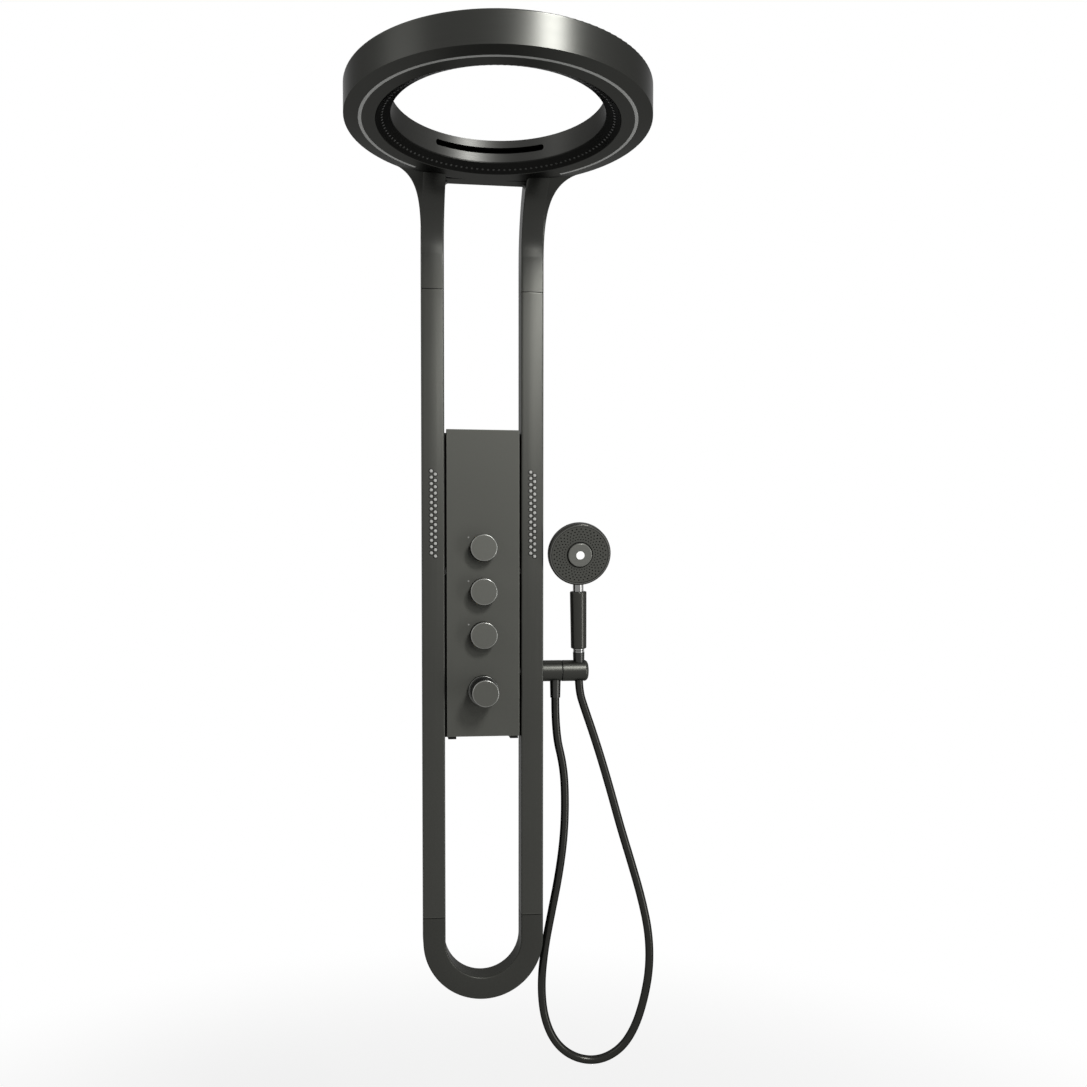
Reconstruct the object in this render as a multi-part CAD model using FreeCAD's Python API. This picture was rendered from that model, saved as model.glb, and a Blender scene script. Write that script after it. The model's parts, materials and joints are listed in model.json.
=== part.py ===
import FreeCAD, Part
import math
import os

# Wall-hung shower column: two rails and a U bend, an open overhead ring on curved necks, a control
# panel between the rails and a hand shower on a hose. Millimetres, +Z up, the wall is the plane Y = 0
# and the front faces -Y. The origin is the middle of the wall plate, on the wall.

V = FreeCAD.Vector
UP = V(0, 0, 1)
SIDEWAYS = V(1, 0, 0)
TO_WALL = V(0, 1, 0)

# Fits and cutting
OVERRUN = 5.0
SLIDE_GAP = 0.4
SEAT_GAP = 0.15
PIN_GAP = 0.05

# Rails and bend
COLUMN_WIDTH = 190.0
RAIL_WIDTH = 35.0
RAIL_DEPTH = 41.0
RAIL_WALL = 2.5
WALL_STANDOFF = 1.0
FRONT_CROWN = 1.5
FRONT_EDGE_RADIUS = 2.5
BACK_EDGE_RADIUS = 1.5
BORE_EDGE_RADIUS = 1.0
CROWN_ARC_SHARE = 0.9
SEAM_TOP_Z = 453.0
SEAM_BOTTOM_Z = -525.0
SEAM_GAP = 1.2
BEND_CENTRE_Z = -563.0
SPIGOT_LENGTH = 60.0

# Overhead ring and necks
RING_RADIUS = 200.0
RING_REACH = 280.5
PLATE_Z = 598.2
EDGE_LIFT = 2.6
SLOPE_WIDTH = 18.0
RING_WALL = 4.0
RING_LIP = 2.0
RING_TOP_ROUND = 1.5
RING_FLOOR = 3.0
COVER_THICKNESS = 2.0
RING_PLATE_WIDTH = 41.0
OPENING_CHAMFER = 0.8
NECK_BEND_RADIUS = 92.0
NECK_LIFT = 0.8
FLARE_RADIUS = 150.0
INNER_CORNER_RADIUS = 5.0

# Inner wall, nozzle band and waterfall of the ring
RING_BAND_WIDTH = 60.0
BAND_THICKNESS = 2.0
BAND_TOP_DROP = 1.0
CONE_RISE = 8.8
CONE_RECESS = 0.3
CONE_THICKNESS = 3.5
CONE_LIP = 1.5
CONE_FLANGE = 6.0
NOZZLE_COUNT = 120
NOZZLE_PLACE_SHARE = 0.415
NOZZLE_RADIUS = 1.5
NOZZLE_PROUD = 0.4
MAT_THICKNESS = 2.0
MAT_MARGIN = 3.3
SPOUT_HALF_ANGLE = 31.5
SPOUT_EXTRA_ANGLE = 1.5
SPOUT_HEIGHT = 8.3
SPOUT_LIFT = 26.5
SPOUT_DEPTH = 14.0
SPOUT_WALL = 1.2

# Pale trim strip under the ring
STRIPE_INSET = 20.8
STRIPE_WIDTH = 4.2
STRIPE_DEPTH = 1.0
STRIPE_GAP_HALF_ANGLE = 36.0

# Body jets
JET_ROWS = 14
JET_PITCH = 9.73
JET_TOP_Z = 174.2
JET_COLUMN_SPACING = 6.2
JET_RADIUS = 2.7
JET_PROUD = 1.0
JET_TIP_HEIGHT = 0.8
JET_TIP_SHARE = 0.6
JET_STRIP_THICKNESS = 3.0
JET_STRIP_WIDTH = 15.0
JET_STRIP_MARGIN = 6.0

# Control panel
PANEL_HEIGHT = 479.0
PANEL_SIDE_GAP = 3.0
PANEL_RECESS = 2.0
PANEL_SHEET = 2.0
PANEL_RETURN = 10.0
PANEL_CORNER_RADIUS = 1.0
CLIP_WIDTH = 12.5
CLIP_DROP = 4.0
CLIP_TOP_GAP = 0.4
CLIP_BACK_Y = -8.0
CLIP_HOOK_DEPTH = 6.0
MARK_RADIUS = 1.3
MARK_HEIGHT = 0.3
MARK_OFFSET_X = -23.0
MARK_OFFSET_Z = 16.5

# Wall plate and ties
PLATE_WIDTH = 100.0
PLATE_HEIGHT = 464.0
PLATE_THICKNESS = 3.0
BOLT_SPACING_X = 60.0
BOLT_SPACING_Z = 444.0
BOLT_HOLE_RADIUS = 3.3
TIE_HEIGHT = 20.0
TIE_DEPTH = 9.0
TIE_SPACING = 230.0
TIE_SCREW_RADIUS = 2.4
TIE_SCREW_HEAD_RADIUS = 4.5
TIE_SCREW_HEAD = 2.5
TIE_SCREW_LENGTH = 12.0

# Valve body and plumbing
VALVE_WIDTH = 76.0
VALVE_DEPTH = 16.0
VALVE_TOP_Z = 85.0
VALVE_BOTTOM_Z = -205.0
INLET_BLOCK_HEIGHT = 28.0
INLET_BLOCK_BACK_Y = -6.0
INLET_SPACING = 44.0
INLET_THREAD_RADIUS = 9.3
INLET_THREAD_DEPTH = 14.0
INLET_HOLE_GAP = 3.0
TUBE_RADIUS = 6.0
TUBE_WALL = 1.0
TUBE_Y = -20.0
TUBE_BEND_RADIUS = 14.0
TUBE_SEAT = 8.0
RISER_INLET_Z = 20.0

# Push buttons
BUTTON_TOP_Z = 55.7
BUTTON_PITCH = 68.0
BUTTON_RADIUS = 21.0
BUTTON_PROUD = 18.0
BUTTON_STOP_GAP = 1.0
BUTTON_WALL = 2.5
BUTTON_FACE = 3.0
BUTTON_EDGE = 1.6
BUTTON_TRAVEL = 5.0
STEM_RADIUS = 4.0
STEM_REACH = 10.0
CARTRIDGE_RADIUS = 12.0
CARTRIDGE_DEPTH = 14.0
CARTRIDGE_BOSS_RADIUS = 9.0
CARTRIDGE_BOSS = 5.0
SPRING_INNER_RADIUS = 5.5
SPRING_OUTER_RADIUS = 7.0

# Temperature knob
KNOB_Z = -167.5
KNOB_RADIUS = 20.8
KNOB_PROUD = 44.0
KNOB_WALL = 3.0
KNOB_FACE = 4.0
KNOB_EDGE = 1.6
KNOB_HUB_RADIUS = 8.0
COLLAR_RADIUS = 24.2
COLLAR_HEIGHT = 8.0
COLLAR_BORE_RADIUS = 16.0
COLLAR_EDGE = 1.5
THERMOSTAT_RADIUS = 16.5
THERMOSTAT_BOSS_RADIUS = 11.0
SPINDLE_RADIUS = 5.0
SPINDLE_REACH = 16.0

# Hose outlet base and swivel holder
HOLDER_Z = -139.0
HOLDER_Y = -22.0
HOLDER_RADIUS = 16.8
OUTLET_LENGTH = 31.0
HOLDER_LENGTH = 42.0
HOLDER_GAP = 1.0
HOLDER_END_ROUND = 6.0
HOLDER_EDGE = 0.6
PIVOT_RADIUS = 6.0
PIVOT_LENGTH = 16.0
PIVOT_SEAT = 5.5
OUTLET_INSET = 9.2
OUTLET_BORE_RADIUS = 3.5
OUTLET_NUT_LENGTH = 26.0
OUTLET_NUT_TOP_RADIUS = 8.7
OUTLET_NUT_TIP_RADIUS = 8.0
OUTLET_NUT_SEAT = 12.0

# Hand shower: handle, along its own tilted axis from the holder's centre
HANDLE_INSET = 14.0
HANDLE_TILT = 5.0
HANDLE_LEAN = -1.5
HOSE_NUT_BOTTOM = -10.0
HOSE_NUT_TOP = 29.7
HOSE_NUT_TOP_RADIUS = 9.3
HOSE_NUT_TIP_RADIUS = 8.4
LOWER_COLLAR_RADIUS = 9.2
LOWER_COLLAR_LENGTH = 6.6
COLLAR_GROOVE = 0.8
GRIP_LENGTH = 91.0
GRIP_BOTTOM_RADIUS = 12.4
GRIP_TOP_RADIUS = 13.2
GRIP_END_ROUND = 1.5
UPPER_COLLAR_LENGTH = 16.5
UPPER_COLLAR_RADIUS = 8.5
HANDLE_BORE_RADIUS = 6.0
SHELL_BOSS_RADIUS = 10.0
SHELL_BOSS_LENGTH = 14.0

# Hand shower: head
HEAD_RISE = 184.0
HEAD_FORWARD = 35.0
HEAD_PITCH = 14.0
HEAD_RADIUS = 49.2
HEAD_DEPTH = 25.0
HEAD_BACK_ROUND = 12.0
HEAD_RIM = 3.8
HEAD_RIM_ROUND = 3.0
HEAD_WALL = 2.5
FACE_RECESS = 0.6
FACE_THICKNESS = 3.0
FACE_NOZZLE_RINGS = 5
FACE_NOZZLES_PER_RING = 36
FACE_NOZZLE_FIRST_RADIUS = 24.4
FACE_NOZZLE_RING_STEP = 4.1
FACE_NOZZLE_RADIUS = 0.9
FACE_NOZZLE_GROWTH = 0.06
FACE_GROOVE = 0.9
FACE_FLANGE = 1.0
HEAD_MAT_THICKNESS = 2.0
SPRAY_BUTTON_RADIUS = 18.9
SPRAY_BUTTON_HOLE_GAP = 1.7
SPRAY_BUTTON_PROUD = 3.8
SPRAY_BUTTON_EDGE = 1.9
SPRAY_BUTTON_LENGTH = 9.0
SPRAY_BUTTON_WALL = 2.0
DOT_RADIUS = 6.5
DOT_DEPTH = 1.2
DOT_PROUD = 0.15
CORE_RADIUS = 15.0
CORE_HEIGHT = 8.0
HEAD_SPRING_INNER_RADIUS = 8.0
HEAD_SPRING_OUTER_RADIUS = 10.0

# Hose: straight ends at the two nuts, and the route between them
HOSE_RADIUS = 6.5
HOSE_DROP_RUN = 56.2
HOSE_TIP_RUN = 23.0
ARC_SHARE = 0.45
HOSE_ROUTE = [
    (131, -20, -294), (134, -18, -351), (132, -17, -410), (124, -16, -471), (112.5, -15, -530),
    (101, -15, -589), (95, -15, -650), (100, -17, -705), (117, -20, -744), (147, -24, -770),
    (186, -28, -776), (223, -32, -760), (247, -35, -725), (261, -38, -676), (269, -40, -620),
    (267, -41, -562), (254, -41, -503), (238, -40, -448), (221, -37, -390), (205, -33, -332),
    (190, -28.5, -279), (177, -24, -237), (165, -20, -201),
]

# Places that follow from the sizes above
BACK_Y = -WALL_STANDOFF
FRONT_Y = BACK_Y - RAIL_DEPTH
RAIL_X = (COLUMN_WIDTH - RAIL_WIDTH) / 2
RAIL_OUTER_X = COLUMN_WIDTH / 2
RAIL_INNER_X = RAIL_OUTER_X - RAIL_WIDTH
RING_Y = -RING_REACH
OPENING_RADIUS = RING_RADIUS - RING_PLATE_WIDTH
INNER_RADIUS = RING_RADIUS - RING_BAND_WIDTH
STRIPE_RADIUS = RING_RADIUS - STRIPE_INSET
NECK_Z = PLATE_Z + NECK_LIFT
TOP_Z = NECK_Z + RAIL_DEPTH
FLOOR_Z = PLATE_Z + RING_FLOOR
COVER_Z = TOP_Z - COVER_THICKNESS
NECK_PIVOT_Y = FRONT_Y - NECK_BEND_RADIUS
NECK_PIVOT_Z = NECK_Z - NECK_BEND_RADIUS
CONE_OUTER_RADIUS = OPENING_RADIUS - SEAT_GAP
CONE_OUTER_Z = PLATE_Z + CONE_RECESS
CONE_INNER_Z = CONE_OUTER_Z + CONE_RISE
NOZZLE_CIRCLE_RADIUS = CONE_OUTER_RADIUS - NOZZLE_PLACE_SHARE * (CONE_OUTER_RADIUS - INNER_RADIUS)
BAND_BOTTOM_Z = CONE_INNER_Z + CONE_LIP + SEAT_GAP
SPOUT_END_ANGLE = math.degrees(SPOUT_HEIGHT / 2 / INNER_RADIUS)
PANEL_FRONT_Y = FRONT_Y + PANEL_RECESS
PANEL_INNER_Y = PANEL_FRONT_Y + PANEL_SHEET
PANEL_SIDE_X = RAIL_INNER_X - PANEL_SIDE_GAP
PANEL_TOP_Z = PANEL_HEIGHT / 2
TIE_BACK_Y = -PLATE_THICKNESS
VALVE_BACK_Y = TIE_BACK_Y - TIE_DEPTH
VALVE_FRONT_Y = VALVE_BACK_Y - VALVE_DEPTH
INLET_Z = VALVE_BOTTOM_Z + INLET_BLOCK_HEIGHT / 2
BUTTON_HEIGHTS = {
    "upper": BUTTON_TOP_Z,
    "middle": BUTTON_TOP_Z - BUTTON_PITCH,
    "lower": BUTTON_TOP_Z - 2 * BUTTON_PITCH,
}
OUTLET_END_X = RAIL_OUTER_X + OUTLET_LENGTH
OUTLET_X = OUTLET_END_X - OUTLET_INSET
HOLDER_X = OUTLET_END_X + HOLDER_GAP
HOLDER_END_X = HOLDER_X + HOLDER_LENGTH
HANDLE_X = HOLDER_END_X - HANDLE_INSET
OUTLET_NUT_TIP_Z = HOLDER_Z - HOLDER_RADIUS - OUTLET_NUT_LENGTH
GRIP_BOTTOM = HOSE_NUT_TOP + LOWER_COLLAR_LENGTH
GRIP_TOP = GRIP_BOTTOM + GRIP_LENGTH
UPPER_COLLAR_TOP = GRIP_TOP + UPPER_COLLAR_LENGTH
HANDLE_TURN = FreeCAD.Rotation(SIDEWAYS, HANDLE_TILT) * FreeCAD.Rotation(TO_WALL, HANDLE_LEAN)
HANDLE_PLACE = FreeCAD.Placement(V(HANDLE_X, HOLDER_Y, HOLDER_Z), HANDLE_TURN)
HEAD_X = HANDLE_X + HEAD_RISE * math.tan(math.radians(HANDLE_LEAN))
HEAD_PLACE = FreeCAD.Placement(
    V(HEAD_X, HOLDER_Y - HEAD_FORWARD, HOLDER_Z + HEAD_RISE),
    FreeCAD.Rotation(SIDEWAYS, 90 + HEAD_PITCH),
)


# Drawing helpers

def rounded_outline(corners, to_space):
    """Closed wire through (u, v, radius) corners, each rounded by a tangent arc of its radius."""
    bends = []
    for i, (u, v, radius) in enumerate(corners):
        here = V(u, v, 0)
        back = (V(corners[i - 1][0], corners[i - 1][1], 0) - here).normalize()
        on = (V(corners[(i + 1) % len(corners)][0], corners[(i + 1) % len(corners)][1], 0) - here).normalize()
        if not radius:
            bends.append([here])
            continue
        half = back.getAngle(on) / 2
        reach = radius / math.tan(half)
        inward = (back + on).normalize()
        middle = here + inward * (radius / math.sin(half) - radius)
        bends.append([here + back * reach, middle, here + on * reach])
    edges = []
    for i, bend in enumerate(bends):
        points = [to_space(p.x, p.y) for p in bend]
        if len(points) == 3:
            edges.append(Part.Arc(*points).toShape())
        following = bends[(i + 1) % len(bends)][0]
        edges.append(Part.LineSegment(points[-1], to_space(following.x, following.y)).toShape())
    return Part.Wire(edges)


def flat_face(corners, z):
    return Part.Face(rounded_outline(corners, lambda u, v: V(u, v, z)))


def turned(corners, place=None):
    """Solid of revolution about Z from (radius, height, rounding) corners, moved to its place."""
    face = Part.Face(rounded_outline(corners, lambda u, v: V(u, 0, v)))
    solid = face.revolve(V(0, 0, 0), UP, 360)
    if place:
        solid.Placement = place
    return solid


def ring_turned(corners, half_angle=None):
    """Solid of revolution about the ring's axis: whole, round the wall side or, if negative, the front."""
    if half_angle is None:
        start, sweep = 0, 360
    elif half_angle > 0:
        start, sweep = 90 - half_angle, 2 * half_angle
    else:
        start, sweep = -90 + half_angle, -2 * half_angle
    face = Part.Face(rounded_outline(corners, lambda u, v: V(u, 0, v)))
    face.rotate(V(0, 0, 0), UP, start)
    solid = face.revolve(V(0, 0, 0), UP, sweep)
    solid.translate(V(0, RING_Y, 0))
    return solid


def box(x, y, z):
    """Block between pairs of limits, given in any order."""
    low = V(min(x), min(y), min(z))
    return Part.makeBox(max(x) - low.x, max(y) - low.y, max(z) - low.z, low)


def rod(radius, start, end):
    axis = end - start
    return Part.makeCylinder(radius, axis.Length, start, axis)


def sleeve(outer, inner, start, end):
    beyond = (end - start).normalize() * OVERRUN
    return rod(outer, start, end).cut(rod(inner, start - beyond, end + beyond))


def front_turned(corners, z):
    """Solid of revolution about a front-to-back axis at height z, from (radius, Y, rounding) corners."""
    place = FreeCAD.Placement(V(0, 0, z), FreeCAD.Rotation(SIDEWAYS, -90))
    return turned(corners, place)


def bent_path(points, radius):
    """Wire of straight runs through the points, with one tangent arc radius at every corner."""
    edges = []
    last = points[0]
    for before, here, after in zip(points, points[1:], points[2:]):
        back = (before - here).normalize()
        on = (after - here).normalize()
        half = back.getAngle(on) / 2
        inward = (back + on).normalize()
        start = here + back * (radius / math.tan(half))
        end = here + on * (radius / math.tan(half))
        middle = here + inward * (radius / math.sin(half) - radius)
        edges.append(Part.LineSegment(last, start).toShape())
        edges.append(Part.Arc(start, middle, end).toShape())
        last = end
    edges.append(Part.LineSegment(last, points[-1]).toShape())
    return Part.Wire(edges)


def piped(path, radius):
    first = path.Edges[0]
    start = path.OrderedVertexes[0].Point
    circle = Part.Wire(Part.Circle(start, first.tangentAt(first.FirstParameter), radius).toShape())
    return path.makePipeShell([circle], True, False)


def tube(path, radius, wall):
    return piped(path, radius).cut(piped(path, radius - wall))


# Rails, bend and spigots

def rail_face(x, z, inset, edge_radius, back_radius):
    """Crowned rail section at height z, drawn in from the rail's outside by the inset."""
    half = RAIL_WIDTH / 2 - inset
    back = BACK_Y - inset
    front = FRONT_Y + inset
    shoulder = front + FRONT_CROWN
    slope = math.atan2(FRONT_CROWN, half)
    corner_reach = edge_radius * math.tan((math.pi / 2 - slope) / 2)
    crown_reach = (math.hypot(half, FRONT_CROWN) - corner_reach) * CROWN_ARC_SHARE
    crown_radius = crown_reach / math.tan(slope)
    return flat_face([
        (x - half, back, back_radius),
        (x - half, shoulder, edge_radius),
        (x, front, crown_radius),
        (x + half, shoulder, edge_radius),
        (x + half, back, back_radius),
    ], z)


def outside_face(x, z):
    return rail_face(x, z, 0, FRONT_EDGE_RADIUS, BACK_EDGE_RADIUS)


def bore_face(x, z, gap=0):
    return rail_face(x, z, RAIL_WALL + gap, BORE_EDGE_RADIUS, BORE_EDGE_RADIUS)


def jet_places(x):
    """Points on the rail's front, two staggered columns beside the rail's centre line."""
    for side in (-1, 1):
        for row in range(JET_ROWS):
            drop = row * JET_PITCH + (JET_PITCH / 2 if side > 0 else 0)
            yield V(x + side * JET_COLUMN_SPACING / 2, FRONT_Y, JET_TOP_Z - drop)


def rail(x):
    bottom = SEAM_BOTTOM_Z + SEAM_GAP / 2
    height = SEAM_TOP_Z - SEAM_GAP / 2 - bottom
    shape = outside_face(x, bottom).extrude(UP * height)
    shape = shape.cut(bore_face(x, bottom - OVERRUN).extrude(UP * (height + 2 * OVERRUN)))
    reach = TO_WALL * (RAIL_WALL + FRONT_CROWN + OVERRUN)
    out = TO_WALL * OVERRUN
    holes = [rod(JET_RADIUS + SLIDE_GAP, p - out, p + reach) for p in jet_places(x)]
    inner = math.copysign(RAIL_INNER_X, x)
    outward = SIDEWAYS * math.copysign(OVERRUN, x)
    riser_hole = V(inner, TUBE_Y, RISER_INLET_Z)
    holes.append(rod(TUBE_RADIUS + SLIDE_GAP, riser_hole - outward, riser_hole + outward))
    if x > 0:
        start = V(RAIL_INNER_X - OVERRUN, HOLDER_Y, HOLDER_Z)
        holes.append(rod(TUBE_RADIUS + SLIDE_GAP, start, start + SIDEWAYS * (RAIL_WIDTH + 2 * OVERRUN)))
    return shape.cut(Part.makeCompound(holes))


def jet_strip(x):
    front = FRONT_Y + RAIL_WALL + FRONT_CROWN
    bottom = JET_TOP_Z - JET_ROWS * JET_PITCH
    shape = box((x - JET_STRIP_WIDTH / 2, x + JET_STRIP_WIDTH / 2), (front, front + JET_STRIP_THICKNESS),
                (bottom - JET_STRIP_MARGIN, JET_TOP_Z + JET_STRIP_MARGIN))
    jets = []
    for place in jet_places(x):
        shoulder = place - TO_WALL * (JET_PROUD - JET_TIP_HEIGHT)
        root = V(place.x, front + JET_STRIP_THICKNESS / 2, place.z)
        jets.append(rod(JET_RADIUS, root, shoulder))
        jets.append(Part.makeCone(JET_RADIUS, JET_RADIUS * JET_TIP_SHARE, JET_TIP_HEIGHT, shoulder, -TO_WALL))
    return shape.multiFuse(jets).removeSplitter()


def bend_solid(face_at):
    """Two short legs and a half turn between the rails, from a section maker."""
    top = SEAM_BOTTOM_Z - SEAM_GAP / 2
    legs = [face_at(x, BEND_CENTRE_Z).extrude(UP * (top - BEND_CENTRE_Z)) for x in (-RAIL_X, RAIL_X)]
    turn = face_at(RAIL_X, BEND_CENTRE_Z).revolve(V(0, 0, BEND_CENTRE_Z), TO_WALL, 180)
    return turn.multiFuse(legs).removeSplitter()


def bottom_bend():
    top = SEAM_BOTTOM_Z - SEAM_GAP / 2
    shape = bend_solid(outside_face).cut(bend_solid(bore_face))
    mouths = [bore_face(x, top - OVERRUN).extrude(UP * (2 * OVERRUN)) for x in (-RAIL_X, RAIL_X)]
    return shape.cut(Part.makeCompound(mouths))


def spigot(x, seam_z):
    bottom = seam_z - SPIGOT_LENGTH / 2
    shape = bore_face(x, bottom, SEAT_GAP).extrude(UP * SPIGOT_LENGTH)
    start = V(x, TUBE_Y, bottom - OVERRUN)
    return shape.cut(rod(TUBE_RADIUS + SLIDE_GAP, start, start + UP * (SPIGOT_LENGTH + 2 * OVERRUN)))


# Overhead ring

def neck(x, face_at, bottom):
    """Rail section carried up from a height and round a quarter turn to the level of the ring."""
    straight = face_at(x, bottom).extrude(UP * (NECK_PIVOT_Z - bottom))
    turn = face_at(x, NECK_PIVOT_Z).revolve(V(0, NECK_PIVOT_Y, NECK_PIVOT_Z), SIDEWAYS, 90)
    return straight.fuse(turn)


def neck_back_rod():
    """Round bar about the necks' bend, as large as their backs."""
    axis_start = V(-RING_RADIUS, NECK_PIVOT_Y, NECK_PIVOT_Z)
    axis_end = V(RING_RADIUS, NECK_PIVOT_Y, NECK_PIVOT_Z)
    return rod(BACK_Y - NECK_PIVOT_Y, axis_start, axis_end)


def flare(outward):
    """Web that blends a neck's outer side into the ring, round in plan, with its front edge rounded."""
    side_x = outward * RAIL_OUTER_X
    centre_x = side_x + outward * FLARE_RADIUS
    spread = RING_RADIUS + FLARE_RADIUS
    centre = V(centre_x, RING_Y + math.sqrt(spread ** 2 - centre_x ** 2), 0)
    on_side = V(side_x, centre.y, 0)
    to_ring = (V(0, RING_Y, 0) - centre).normalize()
    on_ring = centre + to_ring * FLARE_RADIUS
    middle = centre + ((on_side - centre).normalize() + to_ring).normalize() * FLARE_RADIUS
    in_ring = on_ring + to_ring * RING_WALL
    in_neck = V(side_x - outward * RAIL_WIDTH / 2, in_ring.y, 0)
    root = V(in_neck.x, on_side.y, 0)
    corners = [on_ring, in_ring, in_neck, root, on_side]
    sides = [Part.LineSegment(a, b).toShape() for a, b in zip(corners, corners[1:])]
    plan = Part.Face(Part.Wire([Part.Arc(on_side, middle, on_ring).toShape()] + sides))
    plan.translate(UP * NECK_PIVOT_Z)
    front_radius = NECK_BEND_RADIUS + FRONT_CROWN
    axis_start = V(-RING_RADIUS, NECK_PIVOT_Y, NECK_PIVOT_Z)
    axis_end = V(RING_RADIUS, NECK_PIVOT_Y, NECK_PIVOT_Z)
    web = plan.extrude(UP * (TOP_Z - NECK_PIVOT_Z)).common(neck_back_rod())
    web = web.cut(rod(front_radius, axis_start, axis_end))
    front_edges = []
    for edge in web.Edges:
        point = edge.valueAt((edge.FirstParameter + edge.LastParameter) / 2)
        off_front = math.hypot(point.y - NECK_PIVOT_Y, point.z - NECK_PIVOT_Z) - front_radius
        off_side = math.hypot(point.x - centre.x, point.y - centre.y) - FLARE_RADIUS
        if max(abs(off_front), abs(off_side)) < SEAT_GAP:
            front_edges.append(edge)
    return web.makeFillet(FRONT_EDGE_RADIUS, front_edges)


def neck_bridge():
    """Web between the necks, level with the ring's plate and straight behind, with a round under each end."""
    back = RING_Y + RING_RADIUS
    front = RING_Y + math.sqrt((RING_RADIUS - RING_WALL) ** 2 - RAIL_X ** 2)
    webs = [box((-RAIL_X, RAIL_X), (front, back), (PLATE_Z, TOP_Z))]
    rim = RING_Y + math.sqrt(RING_RADIUS ** 2 - RAIL_INNER_X ** 2)
    for side in (-1, 1):
        end = side * RAIL_INNER_X
        axis = V(end - side * INNER_CORNER_RADIUS, rim - OVERRUN, PLATE_Z - INNER_CORNER_RADIUS)
        across = sorted((axis.x, end + side * RAIL_WALL / 2))
        corner = box(across, (rim, back), (axis.z, PLATE_Z))
        webs.append(corner.cut(rod(INNER_CORNER_RADIUS, axis, axis + TO_WALL * (back - rim + 2 * OVERRUN))))
    web = webs[0].multiFuse(webs[1:])
    return web.common(neck_back_rod())


def ring_housing():
    edge_z = PLATE_Z + EDGE_LIFT
    solid = ring_turned([
        (OPENING_RADIUS + OPENING_CHAMFER, PLATE_Z, 0),
        (RING_RADIUS - SLOPE_WIDTH, PLATE_Z, 0),
        (RING_RADIUS, edge_z, 0),
        (RING_RADIUS, TOP_Z, RING_TOP_ROUND),
        (OPENING_RADIUS, TOP_Z, 0),
        (OPENING_RADIUS, PLATE_Z + OPENING_CHAMFER, 0),
    ])
    bottom = SEAM_TOP_Z + SEAM_GAP / 2
    webs = [neck_bridge()]
    for outward in (-1, 1):
        webs.append(neck(outward * RAIL_X, outside_face, bottom))
        webs.append(flare(outward))
    solid = solid.multiFuse(webs)
    cavity = ring_turned([
        (INNER_RADIUS, FLOOR_Z, 0),
        (RING_RADIUS - RING_WALL, FLOOR_Z, 0),
        (RING_RADIUS - RING_WALL, COVER_Z, 0),
        (RING_RADIUS - RING_LIP, COVER_Z, 0),
        (RING_RADIUS - RING_LIP, TOP_Z + OVERRUN, 0),
        (INNER_RADIUS, TOP_Z + OVERRUN, 0),
    ])
    groove = ring_turned(stripe_section(SEAT_GAP), STRIPE_GAP_HALF_ANGLE - 180)
    bores = [neck(x, bore_face, bottom - OVERRUN) for x in (-RAIL_X, RAIL_X)]
    return solid.cut(Part.makeCompound([cavity, groove])).cut(Part.makeCompound(bores))


def ring_top_cover():
    return ring_turned([
        (INNER_RADIUS + BAND_THICKNESS + SEAT_GAP, COVER_Z, 0),
        (RING_RADIUS - RING_LIP - SEAT_GAP, COVER_Z, 0),
        (RING_RADIUS - RING_LIP - SEAT_GAP, TOP_Z, 0),
        (INNER_RADIUS + BAND_THICKNESS + SEAT_GAP, TOP_Z, 0),
    ])


def stripe_section(gap):
    half = STRIPE_WIDTH / 2 + gap
    below = PLATE_Z - (OVERRUN if gap else 0)
    return [
        (STRIPE_RADIUS - half, below, 0),
        (STRIPE_RADIUS + half, below, 0),
        (STRIPE_RADIUS + half, PLATE_Z + STRIPE_DEPTH + gap, 0),
        (STRIPE_RADIUS - half, PLATE_Z + STRIPE_DEPTH + gap, 0),
    ]


def ring_trim_strip():
    return ring_turned(stripe_section(0), STRIPE_GAP_HALF_ANGLE - 180)


def ring_inner_band():
    outer = INNER_RADIUS + BAND_THICKNESS
    band = ring_turned([
        (INNER_RADIUS, BAND_BOTTOM_Z, 0),
        (outer, BAND_BOTTOM_Z, 0),
        (outer, TOP_Z - BAND_TOP_DROP, 0),
        (INNER_RADIUS, TOP_Z - BAND_TOP_DROP, 0),
    ])
    mid = PLATE_Z + SPOUT_LIFT
    half = SPOUT_HEIGHT / 2
    slot = ring_turned([
        (INNER_RADIUS - OVERRUN, mid - half, 0),
        (outer + OVERRUN, mid - half, 0),
        (outer + OVERRUN, mid + half, 0),
        (INNER_RADIUS - OVERRUN, mid + half, 0),
    ], SPOUT_HALF_ANGLE)
    ends = []
    for side in (-1, 1):
        turn = math.radians(90 + side * SPOUT_HALF_ANGLE)
        outward = V(math.cos(turn), math.sin(turn), 0)
        centre = V(0, RING_Y, mid)
        start = centre + outward * (INNER_RADIUS - OVERRUN)
        ends.append(rod(half, start, centre + outward * (outer + OVERRUN)))
    return band.cut(slot.multiFuse(ends))


def waterfall_spout():
    """Open-fronted trough behind the slot in the inner wall."""
    near = INNER_RADIUS + BAND_THICKNESS + SEAT_GAP
    half = SPOUT_HEIGHT / 2
    mid = PLATE_Z + SPOUT_LIFT
    trough = ring_turned([
        (near, mid - half - SPOUT_WALL, 0),
        (near + SPOUT_DEPTH, mid - half - SPOUT_WALL, 0),
        (near + SPOUT_DEPTH, mid + half + SPOUT_WALL, 0),
        (near, mid + half + SPOUT_WALL, 0),
    ], SPOUT_HALF_ANGLE + SPOUT_END_ANGLE + SPOUT_EXTRA_ANGLE)
    hollow = ring_turned([
        (near - OVERRUN, mid - half, 0),
        (near + SPOUT_DEPTH - SPOUT_WALL, mid - half, 0),
        (near + SPOUT_DEPTH - SPOUT_WALL, mid + half, 0),
        (near - OVERRUN, mid + half, 0),
    ], SPOUT_HALF_ANGLE + SPOUT_END_ANGLE)
    return trough.cut(hollow)


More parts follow.
